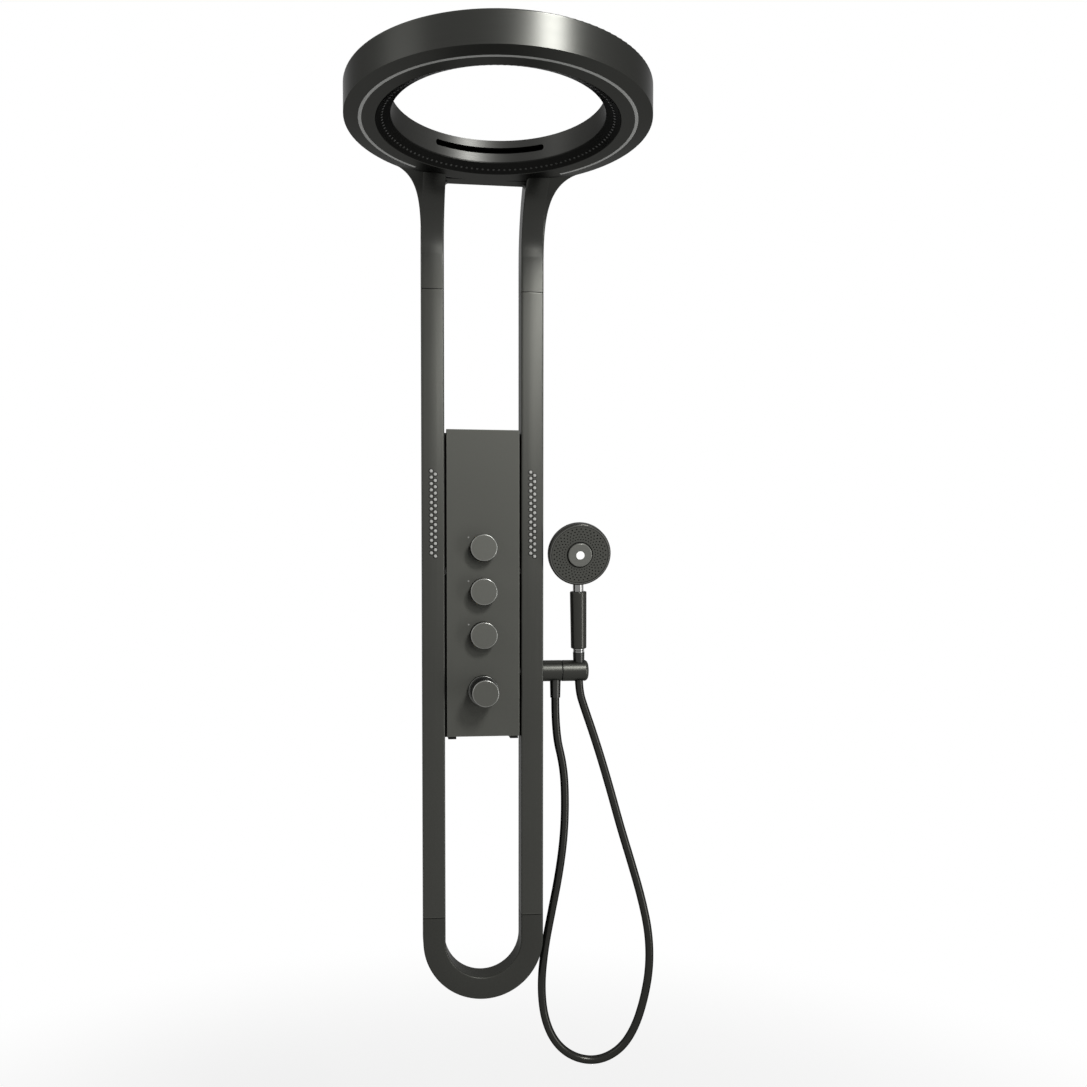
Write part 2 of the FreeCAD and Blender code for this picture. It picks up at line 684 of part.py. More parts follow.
def cone_z(radius):
    """Height of the nozzle band's underside at a radius from the ring's axis."""
    share = (CONE_OUTER_RADIUS - radius) / (CONE_OUTER_RADIUS - INNER_RADIUS)
    return CONE_OUTER_Z + share * CONE_RISE


CONE_SLOPE = math.atan2(CONE_RISE, CONE_OUTER_RADIUS - INNER_RADIUS)
CONE_STEP = CONE_THICKNESS / math.cos(CONE_SLOPE)


def nozzles(radius, above, below):
    """Round pegs through the nozzle band, square to its face, all round the ring."""
    down = V(-math.sin(CONE_SLOPE), 0, -math.cos(CONE_SLOPE))
    middle = V(NOZZLE_CIRCLE_RADIUS, 0, cone_z(NOZZLE_CIRCLE_RADIUS))
    peg = rod(radius, middle - down * above, middle + down * below)
    pegs = []
    for i in range(NOZZLE_COUNT):
        copy = peg.copy()
        copy.rotate(V(0, 0, 0), UP, 360 * i / NOZZLE_COUNT)
        copy.translate(V(0, RING_Y, 0))
        pegs.append(copy)
    return pegs


def nozzle_ring():
    seat = INNER_RADIUS + BAND_THICKNESS + SEAT_GAP
    top = CONE_OUTER_Z + CONE_STEP
    band = ring_turned([
        (CONE_OUTER_RADIUS, CONE_OUTER_Z, 0),
        (INNER_RADIUS, CONE_INNER_Z, 0),
        (INNER_RADIUS, CONE_INNER_Z + CONE_LIP, 0),
        (seat, CONE_INNER_Z + CONE_LIP, 0),
        (seat, cone_z(seat) + CONE_STEP, 0),
        (CONE_OUTER_RADIUS, top, 0),
        (CONE_OUTER_RADIUS + CONE_FLANGE, top, 0),
        (CONE_OUTER_RADIUS + CONE_FLANGE, FLOOR_Z, 0),
        (CONE_OUTER_RADIUS, FLOOR_Z, 0),
    ])
    holes = nozzles(NOZZLE_RADIUS + SEAT_GAP, CONE_THICKNESS + OVERRUN, OVERRUN)
    return band.cut(Part.makeCompound(holes))


def nozzle_mat():
    low = INNER_RADIUS + BAND_THICKNESS + MAT_MARGIN
    high = CONE_OUTER_RADIUS - MAT_MARGIN
    lift = CONE_STEP + SEAT_GAP
    mat = ring_turned([
        (high, cone_z(high) + lift, 0),
        (low, cone_z(low) + lift, 0),
        (low, cone_z(low) + lift + MAT_THICKNESS, 0),
        (high, cone_z(high) + lift + MAT_THICKNESS, 0),
    ])
    pegs = nozzles(NOZZLE_RADIUS, CONE_THICKNESS + MAT_THICKNESS / 2, NOZZLE_PROUD)
    return mat.multiFuse(pegs)


# Control panel and what it covers

def control_panel():
    shape = box((-PANEL_SIDE_X, PANEL_SIDE_X), (PANEL_FRONT_Y, PANEL_FRONT_Y + PANEL_RETURN),
                (-PANEL_TOP_Z, PANEL_TOP_Z))
    front_edges = [e for e in shape.Edges if e.BoundBox.YMax < PANEL_INNER_Y]
    shape = shape.makeFillet(PANEL_CORNER_RADIUS, front_edges)
    hollow = box((-PANEL_SIDE_X + PANEL_SHEET, PANEL_SIDE_X - PANEL_SHEET), (PANEL_INNER_Y, OVERRUN),
                 (-PANEL_TOP_Z - OVERRUN, PANEL_TOP_Z - PANEL_SHEET))
    openings = [hollow]
    near = PANEL_FRONT_Y - OVERRUN
    far = PANEL_INNER_Y + OVERRUN
    for z in BUTTON_HEIGHTS.values():
        openings.append(front_rod(BUTTON_RADIUS + SLIDE_GAP, z, near, far))
    openings.append(front_rod(COLLAR_BORE_RADIUS, KNOB_Z, near, far))
    return shape.cut(Part.makeCompound(openings))


def front_rod(radius, z, front, back):
    return rod(radius, V(0, front, z), V(0, back, z))


def panel_marks():
    """Plain round pips beside the buttons."""
    dots = []
    for z in BUTTON_HEIGHTS.values():
        start = V(MARK_OFFSET_X, PANEL_FRONT_Y, z + MARK_OFFSET_Z)
        dots.append(rod(MARK_RADIUS, start, start - TO_WALL * MARK_HEIGHT))
    return Part.makeCompound(dots)


def panel_clip(side):
    """Strip inside the panel's side with a hook that reaches back to the rail."""
    wall = side * (PANEL_SIDE_X - PANEL_SHEET)
    inner = wall - side * CLIP_WIDTH
    height = (-PANEL_TOP_Z - CLIP_DROP, PANEL_TOP_Z - PANEL_SHEET - CLIP_TOP_GAP)
    strip = box((inner, wall), (PANEL_INNER_Y, CLIP_BACK_Y), height)
    hook = box((inner, side * RAIL_INNER_X), (CLIP_BACK_Y - CLIP_HOOK_DEPTH, CLIP_BACK_Y), height)
    shape = strip.fuse(hook).removeSplitter()
    outward = SIDEWAYS * side * OVERRUN
    cuts = []
    crossings = [(TUBE_Y, RISER_INLET_Z)] + ([(HOLDER_Y, HOLDER_Z)] if side > 0 else [])
    for y, z in crossings:
        start = V(inner, y, z) - outward
        cuts.append(rod(TUBE_RADIUS + SLIDE_GAP, start, V(side * RAIL_INNER_X, y, z) + outward))
    return shape.cut(Part.makeCompound(cuts))


def wall_plate():
    shape = box((-PLATE_WIDTH / 2, PLATE_WIDTH / 2), (-PLATE_THICKNESS, 0),
                (-PLATE_HEIGHT / 2, PLATE_HEIGHT / 2))
    holes = []
    for x in (-BOLT_SPACING_X / 2, BOLT_SPACING_X / 2):
        for z in (-BOLT_SPACING_Z / 2, BOLT_SPACING_Z / 2):
            holes.append(rod(BOLT_HOLE_RADIUS, V(x, -PLATE_THICKNESS - OVERRUN, z), V(x, OVERRUN, z)))
    holes += tie_screw_holes(TIE_SCREW_RADIUS + SEAT_GAP)
    holes += inlet_holes(INLET_THREAD_RADIUS + INLET_HOLE_GAP, -PLATE_THICKNESS - OVERRUN)
    return shape.cut(Part.makeCompound(holes))


def inlet_holes(radius, front):
    """The two supply openings, from the wall forward to a depth."""
    holes = []
    for x in (-INLET_SPACING / 2, INLET_SPACING / 2):
        holes.append(rod(radius, V(x, OVERRUN, INLET_Z), V(x, front, INLET_Z)))
    return holes


def tie_screw_holes(radius):
    holes = []
    for x in (-BOLT_SPACING_X / 2, BOLT_SPACING_X / 2):
        for z in (-TIE_SPACING / 2, TIE_SPACING / 2):
            holes.append(rod(radius, V(x, VALVE_BACK_Y - OVERRUN, z), V(x, OVERRUN, z)))
    return holes


def cross_ties():
    """Bars across the back between the rails; the wall plate is screwed to them."""
    bars = []
    for z in (-TIE_SPACING / 2, TIE_SPACING / 2):
        bar = box((-RAIL_INNER_X, RAIL_INNER_X), (TIE_BACK_Y, VALVE_BACK_Y),
                  (z - TIE_HEIGHT / 2, z + TIE_HEIGHT / 2))
        for side in (-1, 1):
            inner = side * (PANEL_SIDE_X - PANEL_SHEET - CLIP_WIDTH - SEAT_GAP)
            end = side * (RAIL_INNER_X + OVERRUN)
            notch = ((inner, end), (VALVE_BACK_Y - OVERRUN, CLIP_BACK_Y + SEAT_GAP))
            bar = bar.cut(box(*notch, (z - TIE_HEIGHT, z + TIE_HEIGHT)))
        bars.append(bar.cut(Part.makeCompound(tie_screw_holes(TIE_SCREW_RADIUS + SEAT_GAP))))
    return Part.makeCompound(bars)


def tie_screws():
    screws = []
    for x in (-BOLT_SPACING_X / 2, BOLT_SPACING_X / 2):
        for z in (-TIE_SPACING / 2, TIE_SPACING / 2):
            head = V(x, VALVE_BACK_Y, z)
            shank = rod(TIE_SCREW_RADIUS, head, head + TO_WALL * TIE_SCREW_LENGTH)
            screws.append(shank.fuse(rod(TIE_SCREW_HEAD_RADIUS, head - TO_WALL * TIE_SCREW_HEAD, head)))
    return Part.makeCompound(screws)


def valve_body():
    half = VALVE_WIDTH / 2
    shape = box((-half, half), (VALVE_BACK_Y, VALVE_FRONT_Y), (VALVE_BOTTOM_Z, VALVE_TOP_Z))
    inlet_top = VALVE_BOTTOM_Z + INLET_BLOCK_HEIGHT
    block = ((-half, half), (INLET_BLOCK_BACK_Y, VALVE_FRONT_Y), (VALVE_BOTTOM_Z, inlet_top))
    shape = shape.fuse(box(*block)).removeSplitter()
    holes = []
    seat_y = VALVE_FRONT_Y + CARTRIDGE_DEPTH
    for z in BUTTON_HEIGHTS.values():
        holes.append(front_rod(CARTRIDGE_RADIUS + SEAT_GAP, z, VALVE_FRONT_Y - OVERRUN, seat_y))
    holes.append(front_rod(THERMOSTAT_RADIUS + SEAT_GAP, KNOB_Z, VALVE_FRONT_Y - OVERRUN, seat_y))
    thread_end = INLET_BLOCK_BACK_Y - INLET_THREAD_DEPTH
    holes += inlet_holes(INLET_THREAD_RADIUS, thread_end)
    for side in (-1, 1):
        face = V(side * half, TUBE_Y, RISER_INLET_Z)
        outward = SIDEWAYS * side
        holes.append(rod(TUBE_RADIUS + SEAT_GAP, face - outward * TUBE_SEAT, face + outward * OVERRUN))
    face = V(half, HOLDER_Y, HOLDER_Z)
    holes.append(rod(TUBE_RADIUS + SEAT_GAP, face - SIDEWAYS * TUBE_SEAT, face + SIDEWAYS * OVERRUN))
    for x in (-BOLT_SPACING_X / 2, BOLT_SPACING_X / 2):
        for z in (-TIE_SPACING / 2, TIE_SPACING / 2):
            head = V(x, VALVE_BACK_Y + OVERRUN, z)
            front = V(x, VALVE_BACK_Y - TIE_SCREW_HEAD - SLIDE_GAP, z)
            holes.append(rod(TIE_SCREW_HEAD_RADIUS + SLIDE_GAP, head, front))
    return shape.cut(Part.makeCompound(holes))


def riser_tube(side):
    """Tube from the valve's side into the rail, up it and round the neck into the ring."""
    start = V(side * (VALVE_WIDTH / 2 - TUBE_SEAT), TUBE_Y, RISER_INLET_Z)
    x = side * RAIL_X
    corner = V(x, TUBE_Y, RISER_INLET_Z)
    bend = bent_path([start, corner, V(x, TUBE_Y, NECK_PIVOT_Z)], TUBE_BEND_RADIUS)
    neck_radius = TUBE_Y - NECK_PIVOT_Y
    half = math.radians(45)
    centre = V(x, NECK_PIVOT_Y, NECK_PIVOT_Z)
    middle = centre + V(0, neck_radius * math.cos(half), neck_radius * math.sin(half))
    top = Part.Arc(bend.OrderedVertexes[-1].Point, middle, centre + UP * neck_radius).toShape()
    return tube(Part.Wire(bend.Edges + [top]), TUBE_RADIUS, TUBE_WALL)


def outlet_feed_tube():
    start = V(VALVE_WIDTH / 2 - TUBE_SEAT, HOLDER_Y, HOLDER_Z)
    end = V(RAIL_OUTER_X + TUBE_SEAT, HOLDER_Y, HOLDER_Z)
    return sleeve(TUBE_RADIUS, TUBE_RADIUS - TUBE_WALL, start, end)


# Buttons and temperature knob

def flow_cartridge(z):
    boss_y = VALVE_FRONT_Y - CARTRIDGE_BOSS
    back_y = VALVE_FRONT_Y + CARTRIDGE_DEPTH
    body = front_rod(CARTRIDGE_RADIUS, z, VALVE_FRONT_Y, back_y)
    body = body.fuse(front_rod(CARTRIDGE_BOSS_RADIUS, z, boss_y, back_y))
    bore = front_rod(STEM_RADIUS + SLIDE_GAP, z, boss_y - OVERRUN, back_y - SLIDE_GAP)
    return body.cut(bore).removeSplitter()


def button_cap(z):
    front = PANEL_FRONT_Y - BUTTON_PROUD
    back = VALVE_FRONT_Y - BUTTON_STOP_GAP - BUTTON_TRAVEL
    inner = BUTTON_RADIUS - BUTTON_WALL
    return front_turned([
        (0, front, 0),
        (BUTTON_RADIUS, front, BUTTON_EDGE),
        (BUTTON_RADIUS, back, 0),
        (inner, back, 0),
        (inner, front + BUTTON_FACE, 0),
        (0, front + BUTTON_FACE, 0),
    ], z)


def button_stem(z):
    front = PANEL_FRONT_Y - BUTTON_PROUD + BUTTON_FACE
    return front_rod(STEM_RADIUS, z, front, VALVE_FRONT_Y - CARTRIDGE_BOSS + STEM_REACH)


def button_spring(z):
    front = PANEL_FRONT_Y - BUTTON_PROUD + BUTTON_FACE + SEAT_GAP
    back = VALVE_FRONT_Y - CARTRIDGE_BOSS - SEAT_GAP
    return sleeve(SPRING_OUTER_RADIUS, SPRING_INNER_RADIUS, V(0, front, z), V(0, back, z))


def thermostat_cartridge():
    boss_y = PANEL_FRONT_Y - COLLAR_HEIGHT / 2
    back_y = VALVE_FRONT_Y + CARTRIDGE_DEPTH
    body = front_rod(THERMOSTAT_RADIUS, KNOB_Z, VALVE_FRONT_Y, back_y)
    body = body.fuse(front_rod(THERMOSTAT_BOSS_RADIUS, KNOB_Z, boss_y, back_y))
    bore = front_rod(SPINDLE_RADIUS + PIN_GAP, KNOB_Z, boss_y - OVERRUN, boss_y + SPINDLE_REACH)
    return body.cut(bore).removeSplitter()


def temperature_spindle():
    front = PANEL_FRONT_Y - KNOB_PROUD + KNOB_FACE
    back = PANEL_FRONT_Y - COLLAR_HEIGHT / 2 + SPINDLE_REACH - SLIDE_GAP
    return front_rod(SPINDLE_RADIUS, KNOB_Z, front, back)


def temperature_knob():
    front = PANEL_FRONT_Y - KNOB_PROUD
    back = PANEL_FRONT_Y - COLLAR_HEIGHT - SLIDE_GAP
    inner = KNOB_RADIUS - KNOB_WALL
    hub_end = (front + back) / 2
    return front_turned([
        (0, front, 0),
        (KNOB_RADIUS, front, KNOB_EDGE),
        (KNOB_RADIUS, back, 0),
        (inner, back, 0),
        (inner, front + KNOB_FACE, 0),
        (KNOB_HUB_RADIUS, front + KNOB_FACE, 0),
        (KNOB_HUB_RADIUS, hub_end, 0),
        (SPINDLE_RADIUS + SEAT_GAP, hub_end, 0),
        (SPINDLE_RADIUS + SEAT_GAP, front + KNOB_FACE, 0),
        (0, front + KNOB_FACE, 0),
    ], KNOB_Z)


def knob_collar():
    front = PANEL_FRONT_Y - COLLAR_HEIGHT
    return front_turned([
        (COLLAR_BORE_RADIUS, front, 0),
        (COLLAR_RADIUS, front, COLLAR_EDGE),
        (COLLAR_RADIUS, PANEL_FRONT_Y, 0),
        (COLLAR_BORE_RADIUS, PANEL_FRONT_Y, 0),
    ], KNOB_Z)


# Hose outlet and holder

def across(x):
    return V(x, HOLDER_Y, HOLDER_Z)


def across_turned(corners):
    """Solid of revolution about the holder's cross axis, from (radius, X, rounding) corners."""
    return turned(corners, FreeCAD.Placement(across(0), FreeCAD.Rotation(TO_WALL, 90)))


def outlet_base():
    shape = across_turned([
        (0, RAIL_OUTER_X, 0),
        (HOLDER_RADIUS, RAIL_OUTER_X, 0),
        (HOLDER_RADIUS, OUTLET_END_X, HOLDER_EDGE),
        (0, OUTLET_END_X, 0),
    ])
    water = rod(OUTLET_BORE_RADIUS, across(RAIL_OUTER_X - OVERRUN), across(OUTLET_X))
    feed = rod(TUBE_RADIUS + SEAT_GAP, across(RAIL_OUTER_X - OVERRUN), across(RAIL_OUTER_X + TUBE_SEAT))
    drop = rod(OUTLET_BORE_RADIUS, across(OUTLET_X), across(OUTLET_X) - UP * (HOLDER_RADIUS + OVERRUN))
    pin = rod(PIVOT_RADIUS + PIN_GAP, across(OUTLET_END_X - PIVOT_SEAT), across(OUTLET_END_X + OVERRUN))
    seat = V(OUTLET_X, HOLDER_Y, HOLDER_Z - OUTLET_NUT_SEAT)
    spot = rod(OUTLET_NUT_TOP_RADIUS + SEAT_GAP, seat, seat - UP * (HOLDER_RADIUS + OVERRUN))
    return shape.cut(Part.makeCompound([water, drop])).cut(Part.makeCompound([feed, pin])).cut(spot)


def swivel_pin():
    start = OUTLET_END_X - PIVOT_SEAT
    return rod(PIVOT_RADIUS, across(start), across(start + PIVOT_LENGTH))


def swivel_holder():
    shape = across_turned([
        (0, HOLDER_X, 0),
        (HOLDER_RADIUS, HOLDER_X, HOLDER_EDGE),
        (HOLDER_RADIUS, HOLDER_END_X, HOLDER_END_ROUND),
        (0, HOLDER_END_X, 0),
    ])
    pin_end = OUTLET_END_X - PIVOT_SEAT + PIVOT_LENGTH
    pin = rod(PIVOT_RADIUS + PIN_GAP, across(HOLDER_X - OVERRUN), across(pin_end + SLIDE_GAP))
    return shape.cut(pin).cut(hose_nut_cone(SLIDE_GAP, HOLDER_RADIUS))


def hose_nut_cone(gap, extra):
    """The taper of the hand shower's hose nut, or with a gap the socket that it sits in."""
    taper = (HOSE_NUT_TOP_RADIUS - HOSE_NUT_TIP_RADIUS) / (HOSE_NUT_TOP - HOSE_NUT_BOTTOM)
    return turned([
        (0, HOSE_NUT_BOTTOM - extra, 0),
        (HOSE_NUT_TIP_RADIUS + gap - extra * taper, HOSE_NUT_BOTTOM - extra, 0),
        (HOSE_NUT_TOP_RADIUS + gap + extra * taper, HOSE_NUT_TOP + extra, 0),
        (0, HOSE_NUT_TOP + extra, 0),
    ], HANDLE_PLACE)


def hose_outlet_nut():
    top = V(OUTLET_X, HOLDER_Y, HOLDER_Z - OUTLET_NUT_SEAT)
    return Part.makeCone(OUTLET_NUT_TOP_RADIUS, OUTLET_NUT_TIP_RADIUS, top.z - OUTLET_NUT_TIP_Z, top, -UP)


# Hand shower

def handle_turned(corners):
    return turned(corners, HANDLE_PLACE)


def handset_lower_collar():
    groove = GRIP_BOTTOM - LOWER_COLLAR_LENGTH / 2
    step = LOWER_COLLAR_LENGTH / 4
    return handle_turned([
        (0, HOSE_NUT_TOP, 0),
        (LOWER_COLLAR_RADIUS, HOSE_NUT_TOP, COLLAR_GROOVE),
        (LOWER_COLLAR_RADIUS, groove - step / 2, 0),
        (LOWER_COLLAR_RADIUS - COLLAR_GROOVE, groove, 0),
        (LOWER_COLLAR_RADIUS, groove + step / 2, 0),
        (LOWER_COLLAR_RADIUS, GRIP_BOTTOM, COLLAR_GROOVE),
        (0, GRIP_BOTTOM, 0),
    ])


def handset_grip():
    return handle_turned([
        (HANDLE_BORE_RADIUS, GRIP_BOTTOM, 0),
        (GRIP_BOTTOM_RADIUS, GRIP_BOTTOM, GRIP_END_ROUND),
        (GRIP_TOP_RADIUS, GRIP_TOP, GRIP_END_ROUND),
        (HANDLE_BORE_RADIUS, GRIP_TOP, 0),
    ])


def handset_upper_collar():
    return handle_turned([
        (HANDLE_BORE_RADIUS, GRIP_TOP, 0),
        (UPPER_COLLAR_RADIUS, GRIP_TOP, 0),
        (UPPER_COLLAR_RADIUS, UPPER_COLLAR_TOP, 0),
        (HANDLE_BORE_RADIUS, UPPER_COLLAR_TOP, 0),
    ])


def head_turned(corners):
    return turned(corners, HEAD_PLACE)


FACE_RADIUS = HEAD_RADIUS - HEAD_RIM
MAT_TOP = -FACE_RECESS - FACE_THICKNESS
CORE_TOP = -HEAD_DEPTH + HEAD_WALL + CORE_HEIGHT


def handset_shell():
    outside = head_turned([
        (0, -HEAD_DEPTH, 0),
        (HEAD_RADIUS, -HEAD_DEPTH, HEAD_BACK_ROUND),
        (HEAD_RADIUS, 0, HEAD_RIM_ROUND),
        (0, 0, 0),
    ])
    cavity = head_turned([
        (0, -HEAD_DEPTH + HEAD_WALL, 0),
        (FACE_RADIUS - HEAD_WALL, -HEAD_DEPTH + HEAD_WALL, HEAD_BACK_ROUND - HEAD_WALL),
        (FACE_RADIUS - HEAD_WALL, MAT_TOP, 0),
        (FACE_RADIUS, MAT_TOP, 0),
        (FACE_RADIUS, OVERRUN, 0),
        (0, OVERRUN, 0),
    ])
    boss = handle_turned([
        (HANDLE_BORE_RADIUS, UPPER_COLLAR_TOP, 0),
        (SHELL_BOSS_RADIUS, UPPER_COLLAR_TOP, 0),
        (SHELL_BOSS_RADIUS, UPPER_COLLAR_TOP + SHELL_BOSS_LENGTH, 0),
        (HANDLE_BORE_RADIUS, UPPER_COLLAR_TOP + SHELL_BOSS_LENGTH, 0),
    ])
    water = handle_turned([
        (0, UPPER_COLLAR_TOP - OVERRUN, 0),
        (HANDLE_BORE_RADIUS, UPPER_COLLAR_TOP - OVERRUN, 0),
        (HANDLE_BORE_RADIUS, UPPER_COLLAR_TOP + SHELL_BOSS_LENGTH, 0),
        (0, UPPER_COLLAR_TOP + SHELL_BOSS_LENGTH, 0),
    ])
    collar_room = handle_turned([
        (0, GRIP_TOP, 0),
        (UPPER_COLLAR_RADIUS + SEAT_GAP, GRIP_TOP, 0),
        (UPPER_COLLAR_RADIUS + SEAT_GAP, UPPER_COLLAR_TOP, 0),
        (0, UPPER_COLLAR_TOP, 0),
    ])
    return outside.fuse(boss).cut(cavity).cut(water).cut(collar_room)


def face_nozzle_places():
    """(radius, angle, hole radius) of the spray face's holes, in staggered rings."""
    for ring in range(FACE_NOZZLE_RINGS):
        radius = FACE_NOZZLE_FIRST_RADIUS + ring * FACE_NOZZLE_RING_STEP
        hole = FACE_NOZZLE_RADIUS + ring * FACE_NOZZLE_GROWTH
        for i in range(FACE_NOZZLES_PER_RING):
            yield radius, 360 * (i + ring % 2 / 2) / FACE_NOZZLES_PER_RING, hole


def handset_face():
    inner = SPRAY_BUTTON_RADIUS + SPRAY_BUTTON_HOLE_GAP
    plate = turned([
        (inner, MAT_TOP, 0),
        (FACE_RADIUS - SEAT_GAP, MAT_TOP, 0),
        (FACE_RADIUS - SEAT_GAP, MAT_TOP + FACE_FLANGE, 0),
        (FACE_RADIUS - FACE_GROOVE, MAT_TOP + FACE_FLANGE, 0),
        (FACE_RADIUS - FACE_GROOVE, -FACE_RECESS, 0),
        (inner, -FACE_RECESS, 0),
    ])
    holes = []
    for radius, angle, hole in face_nozzle_places():
        turn = math.radians(angle)
        start = V(radius * math.cos(turn), radius * math.sin(turn), MAT_TOP - OVERRUN)
        holes.append(rod(hole, start, start + UP * (FACE_THICKNESS + FACE_RECESS + 2 * OVERRUN)))
    plate = plate.cut(Part.makeCompound(holes))
    plate.Placement = HEAD_PLACE
    return plate


def handset_nozzle_mat():
    inner = SPRAY_BUTTON_RADIUS + SPRAY_BUTTON_HOLE_GAP
    outer = FACE_RADIUS - HEAD_WALL - SEAT_GAP
    return head_turned([
        (inner, MAT_TOP - HEAD_MAT_THICKNESS, 0),
        (outer, MAT_TOP - HEAD_MAT_THICKNESS, 0),
        (outer, MAT_TOP, 0),
        (inner, MAT_TOP, 0),
    ])


def spray_button():
    top = SPRAY_BUTTON_PROUD - FACE_RECESS
    bottom = top - SPRAY_BUTTON_LENGTH
    inner = SPRAY_BUTTON_RADIUS - SPRAY_BUTTON_WALL
    under = top - SPRAY_BUTTON_WALL - DOT_DEPTH
    return head_turned([
        (0, under, 0),
        (inner, under, 0),
        (inner, bottom, 0),
        (SPRAY_BUTTON_RADIUS, bottom, 0),
        (SPRAY_BUTTON_RADIUS, top, SPRAY_BUTTON_EDGE),
        (DOT_RADIUS + PIN_GAP, top, 0),
        (DOT_RADIUS + PIN_GAP, top - DOT_DEPTH, 0),
        (0, top - DOT_DEPTH, 0),
    ])


def spray_button_dot():
    top = SPRAY_BUTTON_PROUD - FACE_RECESS
    return head_turned([
        (0, top - DOT_DEPTH, 0),
        (DOT_RADIUS, top - DOT_DEPTH, 0),
        (DOT_RADIUS, top + DOT_PROUD, 0),
        (0, top + DOT_PROUD, 0),
    ])


def spray_core():
    return head_turned([
        (0, -HEAD_DEPTH + HEAD_WALL, 0),
        (CORE_RADIUS, -HEAD_DEPTH + HEAD_WALL, 0),
        (CORE_RADIUS, CORE_TOP, 0),
        (0, CORE_TOP, 0),
    ])


def spray_button_spring():
    top = SPRAY_BUTTON_PROUD - FACE_RECESS - SPRAY_BUTTON_WALL - DOT_DEPTH - SEAT_GAP
    low = CORE_TOP + SEAT_GAP
    return head_turned([
        (HEAD_SPRING_INNER_RADIUS, low, 0),
        (HEAD_SPRING_OUTER_RADIUS, low, 0),
        (HEAD_SPRING_OUTER_RADIUS, top, 0),
        (HEAD_SPRING_INNER_RADIUS, top, 0),
    ])


# Hose

def shower_hose():
    """Tube along straight runs joined by arcs as large as the runs allow."""
    start = V(OUTLET_X, HOLDER_Y, OUTLET_NUT_TIP_Z)
    tip = HOSE_NUT_BOTTOM - SLIDE_GAP
    end = HANDLE_PLACE.multVec(V(0, 0, tip))
    rise = HANDLE_PLACE.multVec(V(0, 0, tip - HOSE_TIP_RUN))
    points = [start, start - UP * HOSE_DROP_RUN] + [V(*p) for p in HOSE_ROUTE] + [rise, end]
    edges = []
    radii = []
    last = start
    for before, here, after in zip(points, points[1:], points[2:]):
        back = (before - here).normalize()
        on = (after - here).normalize()
        half = back.getAngle(on) / 2
        reach = ARC_SHARE * min((before - here).Length, (after - here).Length)
        radius = reach * math.tan(half)
        radii.append(round(radius))
        inward = (back + on).normalize()
        middle = here + inward * (radius / math.sin(half) - radius)
        edges.append(Part.LineSegment(last, here + back * reach).toShape())
        edges.append(Part.Arc(here + back * reach, middle, here + on * reach).toShape())
        last = here + on * reach
    edges.append(Part.LineSegment(last, end).toShape())
    path = Part.Wire(edges)
    shape = piped(path, HOSE_RADIUS)
    section = math.pi * HOSE_RADIUS ** 2
    print("hose bend radii", radii)
    print("hose length", round(path.Length, 1), "volume over section times length",
          round(shape.Volume / (section * path.Length), 5))
    return shape


def pieces():
    yield "ring_housing", ring_housing()
    yield "ring_top_cover", ring_top_cover()
    yield "ring_trim_strip", ring_trim_strip()
    yield "ring_inner_band", ring_inner_band()
    yield "waterfall_spout", waterfall_spout()
    yield "nozzle_ring", nozzle_ring()
    yield "nozzle_mat", nozzle_mat()
    for name, side in (("left", -1), ("right", 1)):
        yield name + "_rail", rail(side * RAIL_X)
        yield name + "_jet_strip", jet_strip(side * RAIL_X)
        yield "upper_" + name + "_spigot", spigot(side * RAIL_X, SEAM_TOP_Z)
        yield "lower_" + name + "_spigot", spigot(side * RAIL_X, SEAM_BOTTOM_Z)
        yield name + "_riser_tube", riser_tube(side)
        yield name + "_panel_clip", panel_clip(side)
    yield "bottom_bend", bottom_bend()
    yield "control_panel", control_panel()
    yield "panel_marks", panel_marks()
    yield "wall_plate", wall_plate()
    yield "cross_ties", cross_ties()
    yield "tie_screws", tie_screws()
    yield "valve_body", valve_body()
    yield "outlet_feed_tube", outlet_feed_tube()
    for name, z in BUTTON_HEIGHTS.items():
        yield name + "_flow_cartridge", flow_cartridge(z)
        yield name + "_button_cap", button_cap(z)
        yield name + "_button_stem", button_stem(z)
        yield name + "_button_spring", button_spring(z)
    yield "thermostat_cartridge", thermostat_cartridge()
    yield "temperature_spindle", temperature_spindle()
    yield "temperature_knob", temperature_knob()
    yield "knob_collar", knob_collar()
    yield "outlet_base", outlet_base()
    yield "swivel_pin", swivel_pin()
    yield "swivel_holder", swivel_holder()
    yield "hose_outlet_nut", hose_outlet_nut()
    yield "shower_hose", shower_hose()
    yield "handset_hose_nut", hose_nut_cone(0, 0)
    yield "handset_lower_collar", handset_lower_collar()
    yield "handset_grip", handset_grip()
    yield "handset_upper_collar", handset_upper_collar()
    yield "handset_shell", handset_shell()
    yield "handset_face", handset_face()
    yield "handset_nozzle_mat", handset_nozzle_mat()
    yield "spray_button", spray_button()
    yield "spray_button_dot", spray_button_dot()
    yield "spray_core", spray_core()
    yield "spray_button_spring", spray_button_spring()


os.makedirs("parts", exist_ok=True)
for name, shape in pieces():
    state = "" if shape.isValid() else "  not valid"
    print(name, len(shape.Solids), "solids", round(shape.Volume), "mm3" + state)
    shape.exportStep("parts/" + name + ".step")
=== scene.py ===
"""Looks of the wall-hung shower system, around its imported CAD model. Metres, +Z up, the wall is Y = 0."""

import json
import math

